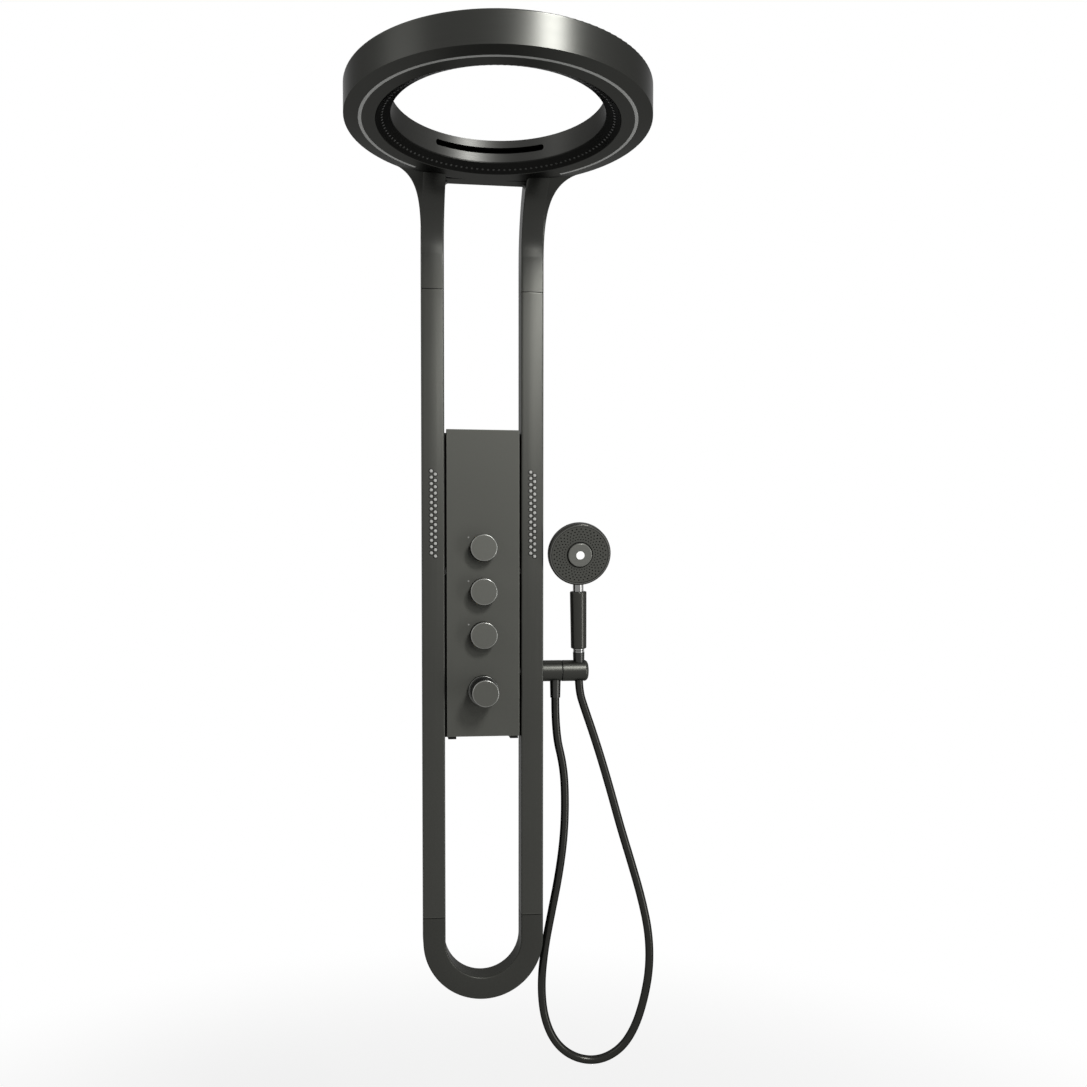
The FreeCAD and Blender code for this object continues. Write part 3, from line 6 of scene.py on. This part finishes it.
import bpy
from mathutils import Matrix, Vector


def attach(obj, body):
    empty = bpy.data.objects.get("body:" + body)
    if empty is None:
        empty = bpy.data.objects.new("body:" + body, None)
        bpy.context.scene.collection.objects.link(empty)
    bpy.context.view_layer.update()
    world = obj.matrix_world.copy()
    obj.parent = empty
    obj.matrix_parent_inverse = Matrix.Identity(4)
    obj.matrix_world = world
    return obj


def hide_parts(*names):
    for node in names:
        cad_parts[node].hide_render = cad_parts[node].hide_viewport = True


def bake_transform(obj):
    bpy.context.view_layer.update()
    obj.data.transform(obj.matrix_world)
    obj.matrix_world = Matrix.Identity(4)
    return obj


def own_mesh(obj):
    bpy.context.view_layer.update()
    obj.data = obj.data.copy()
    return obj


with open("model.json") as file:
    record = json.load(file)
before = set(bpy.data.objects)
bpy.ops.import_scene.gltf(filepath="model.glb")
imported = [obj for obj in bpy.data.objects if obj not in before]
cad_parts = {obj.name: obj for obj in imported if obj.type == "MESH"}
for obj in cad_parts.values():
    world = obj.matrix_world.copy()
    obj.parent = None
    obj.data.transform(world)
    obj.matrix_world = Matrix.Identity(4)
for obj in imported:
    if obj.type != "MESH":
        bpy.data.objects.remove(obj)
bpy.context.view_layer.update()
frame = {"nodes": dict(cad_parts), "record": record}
nodes = frame["nodes"]
scene = bpy.context.scene
scene.view_settings.view_transform = "Standard"

# Places on the object that the finishes follow
RING_AXIS_Y = -0.2805
RING_RADIUS = 0.200
RING_TOP_Z = 0.640
NECK_COAT_Z = (0.520, 0.458)
RAIL_X = 0.0775
RAIL_HALF_WIDTH = 0.0175
RAIL_HALF_DEPTH = 0.0205
RAIL_MID_Y = -0.0215
RAIL_FRONT = 0.042
SEAM_TOP_Z = 0.453
SEAM_BOTTOM_Z = -0.525
PANEL_HALF_WIDTH = 0.057
PANEL_HALF_HEIGHT = 0.2395
BUTTON_HEIGHTS = (0.0557, -0.0123, -0.0803)
BUTTON_RADIUS = 0.021
BUTTON_FACE_Y = -0.058
KNOB_Z = -0.1675
KNOB_RADIUS = 0.0208
KNOB_FACE_Y = -0.084
KNOB_CAP_DEPTH = (0.0014, 0.0020)
JET_TIP_Y = 0.0424
JET_TOP_Z = 0.1742
JET_PITCH = 0.00973
JET_ROWS = 14
JET_COLUMN_OFFSET = 0.0031
JET_SEAT_RADIUS = (0.0033, 0.0043)
HEAD_CENTRE = (0.1502, -0.057, 0.045)
HEAD_PITCH = math.radians(14.0)
HEAD_RIM_INNER = 0.0454
HEAD_RIM_OUTER = 0.0464
HEAD_RIM_FADE = 0.0004
HOSE_DIAMETER = 0.013
HOSE_SIDES = 28
HOSE_RISE_Z = -0.48
HOSE_TIP_LENGTH = 0.088
BUTTON_SPRING_Y = (-0.03315, -0.05485)
BUTTON_SPRING_RADIUS = 0.00625
BUTTON_SPRING_WIRE = 0.0014
SPRAY_SPRING_DEPTH = (0.01435, 0.00015)
SPRAY_SPRING_RADIUS = 0.009
SPRAY_SPRING_WIRE = 0.0015
SPRING_TURNS = 6
SPRING_STEPS = 20
SPRING_SIDES = 10
FLOOR_Z = -1.46
FLOOR_HALF = 6.0

# Wear, and the painted edge highlights, start this far short of an edge, and are full from this far short of
# it
RAIL_WEAR = (0.0022, 0.0004)
SEAM_WEAR = (0.0022, 0.0006)
RING_WEAR = (0.0016, 0.0002)
RING_TOP_WEAR = (0.0025, 0.0008)
PANEL_EDGE_HIGHLIGHT = (0.0016, 0.0003)
KNOB_EDGE_HIGHLIGHT = (0.0019, 0.0011)
HEAD_RIM_HIGHLIGHT = (0.0006, 0.0003)
JET_FACE = (0.0020, 0.0012)


# Camera, at the photograph's place

def add_camera():
    data = bpy.data.cameras.new("photo_camera")
    data.sensor_width = 36.0
    data.lens = 33.452
    data.shift_x = 0.02306
    data.shift_y = 0.06279
    data.clip_end = 50.0
    camera = bpy.data.objects.new("photo_camera", data)
    camera.location = (-0.135252, -1.613066, 0.011808)
    camera.rotation_euler = (math.pi / 2 - 0.035172, 0.0, -0.120577)
    scene.collection.objects.link(camera)
    scene.camera = camera


# Shader maths

class Tone:
    """A value that varies over a surface. Sums of tones add their Math nodes."""

    def __init__(self, bench, socket):
        self.bench = bench
        self.socket = socket

    def math(self, operation, *terms):
        return self.bench.node("ShaderNodeMath", {"operation": operation}, dict(enumerate(terms)))

    def __add__(self, other):
        return self.math("ADD", self, other)

    def __radd__(self, other):
        return self.math("ADD", other, self)

    def __sub__(self, other):
        return self.math("SUBTRACT", self, other)

    def __rsub__(self, other):
        return self.math("SUBTRACT", other, self)

    def __mul__(self, other):
        return self.math("MULTIPLY", self, other)

    def __rmul__(self, other):
        return self.math("MULTIPLY", other, self)

    def __abs__(self):
        return self.math("ABSOLUTE", self)

    def or_more(self, other):
        return self.math("MAXIMUM", self, other)

    def or_less(self, other):
        return self.math("MINIMUM", self, other)

    def rises(self, low, high):
        """0 below low, 1 above high, smooth between."""
        sockets = {"Value": self, "From Min": low, "From Max": high}
        return self.bench.node("ShaderNodeMapRange", {"interpolation_type": "SMOOTHSTEP"}, sockets, "Result")

    def nears(self, edge, wear):
        """0 away from an edge, 1 at it, over a band of wear."""
        return self.rises(edge - wear[0], edge - wear[1])


class Bench:
    """A node tree in the making."""

    def __init__(self, tree):
        self.tree = tree

    def put(self, socket, value):
        if isinstance(value, Tone):
            self.tree.links.new(value.socket, socket)
        else:
            socket.default_value = value

    def node(self, kind, settings, sockets, out=0):
        made = self.tree.nodes.new(kind)
        for name, value in settings.items():
            setattr(made, name, value)
        for name, value in sockets.items():
            self.put(made.inputs[name], value)
        return Tone(self, made.outputs[out])

    def seen_ray(self):
        """1 where the camera, a gloss or a clear piece looks at this surface."""
        seen = self.node("ShaderNodeLightPath", {}, {}, "Is Camera Ray")
        for name in ("Is Glossy Ray", "Is Transmission Ray"):
            seen = seen.or_more(self.node("ShaderNodeLightPath", {}, {}, name))
        return seen


class Finish(Bench):
    """A material in the making, with the row frame's X, Y and Z as tones."""

    def __init__(self, name, metallic, edge_tint=1.0, plain_gloss=0.5):
        self.material = bpy.data.materials.new(name)
        self.material.use_nodes = True
        super().__init__(self.material.node_tree)
        self.shader = self.tree.nodes["Principled BSDF"]
        self.metal(metallic)
        self.put(self.shader.inputs["Specular Tint"], (edge_tint, edge_tint, edge_tint, 1.0))
        self.put(self.shader.inputs["Specular IOR Level"], plain_gloss)
        self.place = self.node("ShaderNodeTexCoord", {}, {}, "Object")
        self.x, self.y, self.z = (self.node("ShaderNodeSeparateXYZ", {}, {0: self.place}, k) for k in "XYZ")

    def noise(self, scale, detail=2.0, stretch=None):
        """Even noise, or noise drawn out along a direction."""
        vector = self.node("ShaderNodeCombineXYZ", {}, dict(enumerate(stretch))) if stretch else self.place
        return self.node("ShaderNodeTexNoise", {}, {"Vector": vector, "Scale": scale, "Detail": detail})

    def from_axis(self, *centre):
        """Distance from a line along Y through X = centre[0], Z = centre[1]."""
        across = (self.x - centre[0]) * (self.x - centre[0])
        up = (self.z - centre[1]) * (self.z - centre[1])
        return across.math("SQRT", across + up)

    def from_ring_axis(self):
        deep = self.y - RING_AXIS_Y
        return deep.math("SQRT", self.x * self.x + deep * deep)

    def round_ring(self):
        """Length round the overhead ring, in metres at its rim."""
        return self.x.math("ARCTAN2", self.x, self.y - RING_AXIS_Y) * RING_RADIUS

    def between(self, low, high, share):
        """Colour between two colours or tones."""
        sockets = {0: share, 6: low, 7: high}
        return self.node("ShaderNodeMix", {"data_type": "RGBA"}, sockets, 2)

    def colour(self, tone):
        self.put(self.shader.inputs["Base Color"], tone)

    def metal(self, tone):
        self.put(self.shader.inputs["Metallic"], tone)

    def roughness(self, tone):
        self.put(self.shader.inputs["Roughness"], tone)

    def bump(self, height, strength, distance):
        sockets = {"Strength": strength, "Distance": distance, "Height": height}
        self.put(self.shader.inputs["Normal"], self.node("ShaderNodeBump", {}, sockets))


def shade(colour, factor):
    return tuple(c * factor for c in colour[:3]) + (1.0,)


# Edges lightened: wear that hands and cloths have polished on the rails and ring, and painted highlights as
# well as wear on the panel, buttons, knob and hand shower rim

def rail_edges(finish):
    sides = abs(abs(finish.x) - RAIL_X).nears(RAIL_HALF_WIDTH, RAIL_WEAR)
    faces = abs(finish.y - RAIL_MID_Y).nears(RAIL_HALF_DEPTH, RAIL_WEAR)
    upper = finish.z.nears(SEAM_TOP_Z, SEAM_WEAR)
    lower = (0.0 - finish.z).nears(-SEAM_BOTTOM_Z, SEAM_WEAR)
    return (sides * faces).or_more(upper).or_more(lower)


def ring_edges(finish):
    return finish.from_ring_axis().nears(RING_RADIUS, RING_WEAR) * finish.z.nears(RING_TOP_Z, RING_TOP_WEAR)


# Lighter panel edges: a painted highlight
def panel_edges(finish):
    sides = abs(finish.x).nears(PANEL_HALF_WIDTH, PANEL_EDGE_HIGHLIGHT)
    return sides.or_more(abs(finish.z).nears(PANEL_HALF_HEIGHT, PANEL_EDGE_HIGHLIGHT))


# Lighter button rims: bare metal wear and a painted highlight
def button_edges(finish):
    nearest = finish.from_axis(0.0, BUTTON_HEIGHTS[0])
    for height in BUTTON_HEIGHTS[1:]:
        nearest = nearest.or_less(finish.from_axis(0.0, height))
    return nearest.nears(BUTTON_RADIUS, KNOB_EDGE_HIGHLIGHT)


# Lighter knob rim: bare metal wear and a painted highlight
def knob_edges(finish):
    return finish.from_axis(0.0, KNOB_Z).nears(KNOB_RADIUS, KNOB_EDGE_HIGHLIGHT)


def head_rim(finish):
    """The flat edge between the hand shower's face and its rounded rim, lightened as a painted highlight
    line.
    """
    x, y, z = (axis - centre for axis, centre in zip((finish.x, finish.y, finish.z), HEAD_CENTRE))
    out = y * -math.cos(HEAD_PITCH) + z * -math.sin(HEAD_PITCH)
    up = z * math.cos(HEAD_PITCH) - y * math.sin(HEAD_PITCH)
    radius = x.math("SQRT", x * x + up * up)
    inner = radius.rises(HEAD_RIM_INNER - HEAD_RIM_FADE, HEAD_RIM_INNER)
    outer = radius.rises(HEAD_RIM_OUTER, HEAD_RIM_OUTER + HEAD_RIM_FADE)
    return inner * (1.0 - outer) * out.nears(0.0, HEAD_RIM_HIGHLIGHT)


# Where the ring's coat turns into that of the rails, down its two necks

def neck_run(finish):
    return (0.0 - finish.z).rises(-NECK_COAT_Z[0], -NECK_COAT_Z[1])


# Painted shade: dark seats round the body jets

def jet_seat_shade(finish):
    across = finish.x - finish.x.math("SIGN", finish.x) * RAIL_X
    seats = []
    for side, start in ((-1, 0.0), (1, 0.5)):
        sideways = across - side * JET_COLUMN_OFFSET
        row = (JET_TOP_Z - finish.z) * (1.0 / JET_PITCH) - start
        nearest = row.math("ROUND", row).or_more(0.0).or_less(JET_ROWS - 1.0)
        along = (row - nearest) * JET_PITCH
        seats.append(row.math("SQRT", sideways * sideways + along * along))
    front = (0.0 - finish.y).nears(RAIL_FRONT, JET_FACE)
    return (1.0 - seats[0].or_less(seats[1]).rises(*JET_SEAT_RADIUS)) * front


# Finishes

def gunmetal(name, colour, rough, grain="even", edges=None, metallic=1.0, edge_tint=0.5, lift=0.10, bare=None,
             face_y=None, seats=None, necks=None):
    """Satin dark metal coat. Its grain is even, or brushed along the rails or round the ring.

    Its edges are lightened as wear and as painted highlights, to bare metal of the colour bare where that is
    given. A knob with its face at face_y has its side wall painted black as painted shade. Seats are painted
    dark as painted shade. Necks have the coat of the rails."""
    finish = Finish(name, metallic, edge_tint, 0.0)
    cloud = finish.noise(9.0, 3.0)
    flake = finish.noise(1500.0, 1.0)
    if grain == "rail":
        brush = finish.noise(1.0, 3.0, (finish.x * 900.0, finish.y * 900.0, finish.z * 6.0))
    elif grain == "wall":
        across = finish.from_ring_axis() * 900.0
        brush = finish.noise(1.0, 3.0, (finish.round_ring() * 8.0, finish.z * 900.0, across))
    else:
        brush = finish.noise(420.0, 3.0)
    share = cloud * 0.35 + flake * 0.30 + brush * 0.35
    gloss = (cloud - 0.5) * 0.06 + (brush - 0.5) * 0.09 + rough
    coat = finish.between(shade(colour, 1.0 - lift), shade(colour, 1.0 + lift), share)
    if necks:
        neck = necks(finish)
        rail_coat = finish.between(shade(RAIL_COAT, 0.9), shade(RAIL_COAT, 1.1), share)
        coat = finish.between(coat, rail_coat, neck)
        finish.metal(neck * (RAIL_METAL - metallic) + metallic)
    # Lighter edges: wear, and painted highlights on the panel, buttons, knob and hand shower rim
    if edges:
        wear_and_highlight = edges(finish) * (0.55 + cloud * 0.45)
        coat = finish.between(coat, bare or shade(colour, 1.7), wear_and_highlight)
        gloss = gloss - wear_and_highlight * 0.16
        if bare:
            finish.metal(wear_and_highlight * (1.0 - metallic) + metallic)
    # The side wall behind a knob's face is painted black: painted shade
    if face_y:
        wall = finish.y.rises(face_y + KNOB_CAP_DEPTH[0], face_y + KNOB_CAP_DEPTH[1])
        coat = finish.between(coat, SHADE_BLACK, wall)
    # Dark seats round the jets: painted shade
    if seats:
        coat = finish.between(coat, SHADE_BLACK, seats(finish))
    finish.colour(coat)
    finish.roughness(gloss)
    finish.bump(flake * 0.5 + brush, 0.035, 0.00005)
    return finish.material


def moulded(name, colour, rough, metallic=0.0, edge_tint=1.0, grain_scale=900.0, grain=0.15):
    """Moulded plastic or silicone with a fine texture."""
    finish = Finish(name, metallic, edge_tint, 0.3)
    cloud = finish.noise(14.0, 3.0)
    fine = finish.noise(grain_scale, 2.0)
    finish.colour(finish.between(shade(colour, 0.85), shade(colour, 1.15), cloud * 0.6 + fine * 0.4))
    finish.roughness((cloud - 0.5) * 0.10 + (fine - 0.5) * 0.12 + rough)
    finish.bump(fine, grain, 0.00008)
    return finish.material


def jet_silicone(name):
    """Dark nubs with a pale tip, a painted highlight."""
    finish = Finish(name, 0.0, 1.0, 0.3)
    fine = finish.noise(1600.0)
    # The pale tip is a painted highlight on each nub
    tip = (0.0 - finish.y).rises(JET_TIP_Y - 0.0003, JET_TIP_Y + 0.0001)
    nub = finish.between((0.020, 0.020, 0.019, 1.0), (0.032, 0.032, 0.030, 1.0), fine)
    finish.colour(finish.between(nub, (0.30, 0.30, 0.285, 1.0), tip * (0.7 + fine * 0.4)))
    finish.roughness(0.42 + fine * 0.16)
    finish.bump(fine, 0.15, 0.00008)
    return finish.material


def bright_metal(name, colour, rough, lines):
    """Bare or plated metal with fine turning or drawing lines."""
    finish = Finish(name, 1.0)
    cloud = finish.noise(20.0)
    turned = finish.noise(1.0, 2.0, (finish.x * 60.0, finish.y * 60.0, finish.z * lines))
    finish.colour(finish.between(shade(colour, 0.92), shade(colour, 1.05), cloud * 0.5 + turned * 0.5))
    finish.roughness((turned - 0.5) * 0.10 + (cloud - 0.5) * 0.05 + rough)
    finish.bump(turned, 0.06, 0.00005)
    return finish.material


add_camera()

GUNMETAL = (0.0325, 0.0328, 0.0296)
RAIL_COAT = (0.045, 0.0453, 0.0410)
RAIL_METAL = 0.60
# Black for painted shade on knob side walls and round the jet seats
SHADE_BLACK = (0.012, 0.012, 0.0112, 1.0)
# Pale bare metal for the hand shower rim and the button and knob rims: painted highlights as well as wear
BARE_RIM_HIGHLIGHT = (0.13, 0.13, 0.122, 1.0)
BARE_EDGE_HIGHLIGHT = (0.21, 0.21, 0.20, 1.0)
body_finish = {
    "ring_housing": gunmetal("ring_gunmetal", (0.0350, 0.0353, 0.0326), 0.33, "wall", ring_edges,
                             necks=neck_run),
    "ring_top_cover": gunmetal("cover_gunmetal", GUNMETAL, 0.40),
    "rail": gunmetal("rail_gunmetal", RAIL_COAT, 0.33, "rail", rail_edges, RAIL_METAL, seats=jet_seat_shade),
    # The bend has the rail coat darkened to 0.82: painted shade
    "bottom_bend": gunmetal("bend_gunmetal_painted_shade", shade(RAIL_COAT, 0.82), 0.36, metallic=RAIL_METAL),
    "control_panel": gunmetal("panel_gunmetal", (0.063, 0.0636, 0.0570), 0.42, edges=panel_edges,
                              metallic=0.18),
    "button": gunmetal("button_gunmetal", (0.082, 0.0827, 0.0745), 0.38, edges=button_edges, metallic=0.40,
                       bare=BARE_EDGE_HIGHLIGHT, face_y=BUTTON_FACE_Y),
    "temperature_knob": gunmetal("knob_gunmetal", (0.072, 0.0726, 0.0652), 0.38, edges=knob_edges,
                                 metallic=0.40, bare=BARE_EDGE_HIGHLIGHT, face_y=KNOB_FACE_Y),
    "holder": gunmetal("holder_gunmetal", shade(GUNMETAL, 1.2), 0.34, metallic=0.85),
}
BODY_NODES = {
    "left_rail": "rail", "right_rail": "rail", "upper_button_cap": "button", "middle_button_cap": "button",
    "lower_button_cap": "button", "outlet_base": "holder", "swivel_holder": "holder",
}
slot_finish = {
    "inner_band": gunmetal("brushed_band", (0.036, 0.036, 0.034), 0.40, "wall", lift=0.22),
    "collar_metal": gunmetal("collar_gunmetal", (0.075, 0.0755, 0.071), 0.22),
    "black_plastic": moulded("black_plastic", (0.012, 0.012, 0.0112), 0.42, metallic=0.9, edge_tint=0.35),
    "black_rubber": moulded("nozzle_silicone", (0.024, 0.024, 0.0225), 0.50, grain_scale=1600.0),
    "jet_rubber": jet_silicone("jet_silicone"),
    "pale_trim": moulded("trim_strip", (0.24, 0.243, 0.232), 0.35),
    "mark_print": moulded("mark_print", (0.20, 0.20, 0.19), 0.5),
    "nut_metal": gunmetal("nut_gunmetal", (0.036, 0.036, 0.034), 0.30),
    "hose_skin": gunmetal("hose_skin", (0.025, 0.025, 0.0227), 0.23, metallic=0.80, edge_tint=0.15),
    "handset_plastic": gunmetal("handset_coat", (0.036, 0.036, 0.0325), 0.25, edges=head_rim, metallic=0.70,
                                bare=BARE_RIM_HIGHLIGHT),
    "face_plastic": gunmetal("face_coat", (0.054, 0.0545, 0.0490), 0.46, metallic=0.45),
    "button_plastic": gunmetal("spray_button_coat", (0.112, 0.113, 0.103), 0.30, metallic=0.45,
                               edge_tint=0.6),
    # The white plastic disc at the centre of the spray button is a painted highlight
    "white_plastic": moulded("white_plastic", (0.80, 0.80, 0.785), 0.30),
    "bright_chrome": bright_metal("bright_chrome", (0.22, 0.22, 0.215), 0.15, 900.0),
    "steel": bright_metal("bare_steel", (0.52, 0.52, 0.52), 0.34, 400.0),
    "brass": bright_metal("bare_brass", (0.62, 0.48, 0.24), 0.32, 300.0),
    "tube_plastic": moulded("tube_plastic", (0.50, 0.51, 0.50), 0.45),
}


def dress():
    """Gives every CAD node its finish."""
    for part in frame["record"]["subparts"]:
        name, slot = part["node"], part["material_slot"]
        finish = body_finish[BODY_NODES.get(name, name)] if slot == "dark_metal" else slot_finish[slot]
        mesh = nodes[name].data
        mesh.materials.clear()
        mesh.materials.append(finish)


dress()


# Hose: one smooth line through the route, as three tubes, the first of which goes with the column

HOSE_ROUTE = [
    (0.1168, -0.022, -0.1818), (0.1168, -0.022, -0.238), (0.131, -0.020, -0.294), (0.134, -0.018, -0.351),
    (0.132, -0.017, -0.410), (0.124, -0.016, -0.471), (0.1125, -0.015, -0.530), (0.101, -0.015, -0.589),
    (0.095, -0.015, -0.650), (0.100, -0.017, -0.704), (0.118, -0.020, -0.745), (0.149, -0.024, -0.769),
    (0.187, -0.028, -0.774), (0.222, -0.032, -0.756), (0.245, -0.035, -0.722), (0.260, -0.038, -0.674),
    (0.269, -0.040, -0.619), (0.267, -0.041, -0.562), (0.254, -0.041, -0.503), (0.238, -0.040, -0.448),
    (0.2205, -0.037, -0.390), (0.205, -0.033, -0.332), (0.190, -0.0285, -0.279), (0.177, -0.024, -0.237),
    (0.165, -0.020, -0.201), (0.15587, -0.01909, -0.17226), (0.15527, -0.02109, -0.14936),
]


def hose_line():
    """Points along the route's NURBS spline."""
    data = bpy.data.curves.new("hose_line", "CURVE")
    data.dimensions = "3D"
    data.resolution_u = 16
    spline = data.splines.new("NURBS")
    spline.points.add(len(HOSE_ROUTE) - 1)
    for point, place in zip(spline.points, HOSE_ROUTE):
        point.co = (*place, 1.0)
    spline.order_u = 3
    spline.use_endpoint_u = True
    holder = bpy.data.objects.new("hose_line", data)
    scene.collection.objects.link(holder)
    mesh = bpy.data.meshes.new_from_object(holder.evaluated_get(bpy.context.evaluated_depsgraph_get()))
    points = [v.co.copy() for v in mesh.vertices]
    bpy.data.objects.remove(holder)
    bpy.data.meshes.remove(mesh)
    return points


def tube_rings(points, sides, diameter):
    """A circle of points round each point of a line, carried along without twist."""
    rings = []
    across = Vector((0.0, 1.0, 0.0))
    for i, here in enumerate(points):
        along = (points[min(i + 1, len(points) - 1)] - points[max(i - 1, 0)]).normalized()
        across = (across - along * across.dot(along)).normalized()
        over = along.cross(across)
        turns = [2 * math.pi * k / sides for k in range(sides)]
        rings.append([here + (across * math.cos(t) + over * math.sin(t)) * (diameter / 2) for t in turns])
    return rings


def tube_piece(name, rings, slot, node, ends=False):
    """Tube through a run of rings, open or with flat ends, which stands in for a CAD node."""
    sides = len(rings[0])
    faces = []
    for i in range(len(rings) - 1):
        for k in range(sides):
            j = (k + 1) % sides
            faces.append((i * sides + k, i * sides + j, (i + 1) * sides + j, (i + 1) * sides + k))
    if ends:
        last = (len(rings) - 1) * sides
        faces += [tuple(reversed(range(sides))), tuple(range(last, last + sides))]
    mesh = bpy.data.meshes.new(name)
    mesh.from_pydata([p for ring in rings for p in ring], [], faces)
    mesh.shade_smooth()
    mesh.materials.append(slot_finish[slot])
    piece = bpy.data.objects.new(name, mesh)
    scene.collection.objects.link(piece)
    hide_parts(node)
    return piece


def run_length(points):
    return sum((b - a).length for a, b in zip(points, points[1:]))


def add_hose():
    line = hose_line()
    rings = tube_rings(line, HOSE_SIDES, HOSE_DIAMETER)
    lower = next(i for i, p in enumerate(line) if i > len(line) / 2 and p.z > HOSE_RISE_Z)
    upper = next(i for i in range(len(line)) if run_length(line[i:]) < HOSE_TIP_LENGTH)
    runs = {"hose_loop": (0, lower), "hose_rise": (lower, upper), "hose_tip": (upper, len(line) - 1)}
    for name, (first, last) in runs.items():
        piece = tube_piece(name, rings[first:last + 1], "hose_skin", "shower_hose")
        path = line[first:last + 1]
        if name == "hose_loop":
            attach(piece, "column")
        elif name == "hose_rise":
            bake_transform(piece)
        else:
            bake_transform(piece)
        run_length(path)


add_hose()


# Return springs, wound, under the buttons

def add_spring(node, body, seat, tip, radius, wire):
    """Coil from its fixed seat to the tip under the button."""
    along = tip - seat
    axis = along.normalized()
    across = axis.orthogonal().normalized()
    over = axis.cross(across)
    steps = SPRING_TURNS * SPRING_STEPS
    line = []
    for i in range(steps + 1):
        turn = 2 * math.pi * i / SPRING_STEPS
        place = (seat + axis * wire / 2).lerp(tip - axis * wire / 2, i / steps)
        line.append(place + (across * math.cos(turn) + over * math.sin(turn)) * radius)
    piece = tube_piece(node + "_coil", tube_rings(line, SPRING_SIDES, wire), "steel", node, True)
    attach(piece, body)
    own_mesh(piece)


for level, height in zip(("upper", "middle", "lower"), BUTTON_HEIGHTS):
    seat, tip = (Vector((0.0, y, height)) for y in BUTTON_SPRING_Y)
    add_spring(level + "_button_spring", "column", seat, tip,
               BUTTON_SPRING_RADIUS, BUTTON_SPRING_WIRE)
face_out = Vector((0.0, -math.cos(HEAD_PITCH), -math.sin(HEAD_PITCH)))
seat, tip = (Vector(HEAD_CENTRE) - face_out * depth for depth in SPRAY_SPRING_DEPTH)
add_spring("spray_button_spring", "handset", seat, tip,
           SPRAY_SPRING_RADIUS, SPRAY_SPRING_WIRE)


# Light, floor and background

def add_softbox(name, place, target, size, power):
    data = bpy.data.lights.new(name, "AREA")
    data.shape = "RECTANGLE"
    data.size, data.size_y = size
    data.energy = power
    lamp = bpy.data.objects.new(name, data)
    lamp.location = place
    lamp.rotation_euler = (Vector(target) - Vector(place)).to_track_quat("-Z", "Y").to_euler()
    scene.collection.objects.link(lamp)


def add_world():
    world = bpy.data.worlds.new("studio")
    world.use_nodes = True
    scene.world = world
    bench = Bench(world.node_tree)
    background = world.node_tree.nodes["Background"]
    bench.put(background.inputs["Color"], (1.0, 1.0, 1.0, 1.0))
    bench.put(background.inputs["Strength"], bench.seen_ray() * 0.88 + 0.12)


def add_floor():
    """Pale floor that fades into the white background and isn't seen from below."""
    mesh = bpy.data.meshes.new("floor")
    corners = [(x * FLOOR_HALF, y * FLOOR_HALF, FLOOR_Z) for x, y in ((-1, -1), (1, -1), (1, 1), (-1, 1))]
    mesh.from_pydata(corners, [], [(0, 1, 2, 3)])
    floor = bpy.data.objects.new("floor", mesh)
    scene.collection.objects.link(floor)
    finish = Finish("pale_floor", 0.0)
    finish.colour((0.86, 0.86, 0.85, 1.0))
    finish.roughness(0.6)
    out = finish.x * finish.x + finish.y * finish.y
    white = finish.node("ShaderNodeEmission", {}, {})
    pale = Tone(finish, finish.shader.outputs[0])
    share = finish.seen_ray() * (0.8 + out.rises(0.8, 6.0) * 0.2)
    lit = finish.node("ShaderNodeMixShader", {}, {0: share, 1: pale, 2: white})
    below = finish.node("ShaderNodeNewGeometry", {}, {}, "Backfacing")
    clear = finish.node("ShaderNodeBsdfTransparent", {}, {})
    shown = finish.node("ShaderNodeMixShader", {}, {0: below, 1: lit, 2: clear})
    finish.put(finish.tree.nodes["Material Output"].inputs["Surface"], shown)
    mesh.materials.append(finish.material)


add_world()
add_floor()
add_softbox("key", (0.74, -1.60, 1.26), (0.0, -0.20, 0.35), (0.40, 0.50), 41.0)
add_softbox("front_strip", (0.50, -2.35, 0.95), (0.08, -0.05, 0.3), (0.28, 0.70), 14.5)
add_softbox("side_strip", (2.1, -1.55, -0.40), (0.15, -0.03, -0.30), (0.6, 1.9), 30.0)
add_softbox("side_fill", (-2.0, -0.9, 1.0), (0.0, -0.15, 0.2), (1.0, 1.4), 8.0)
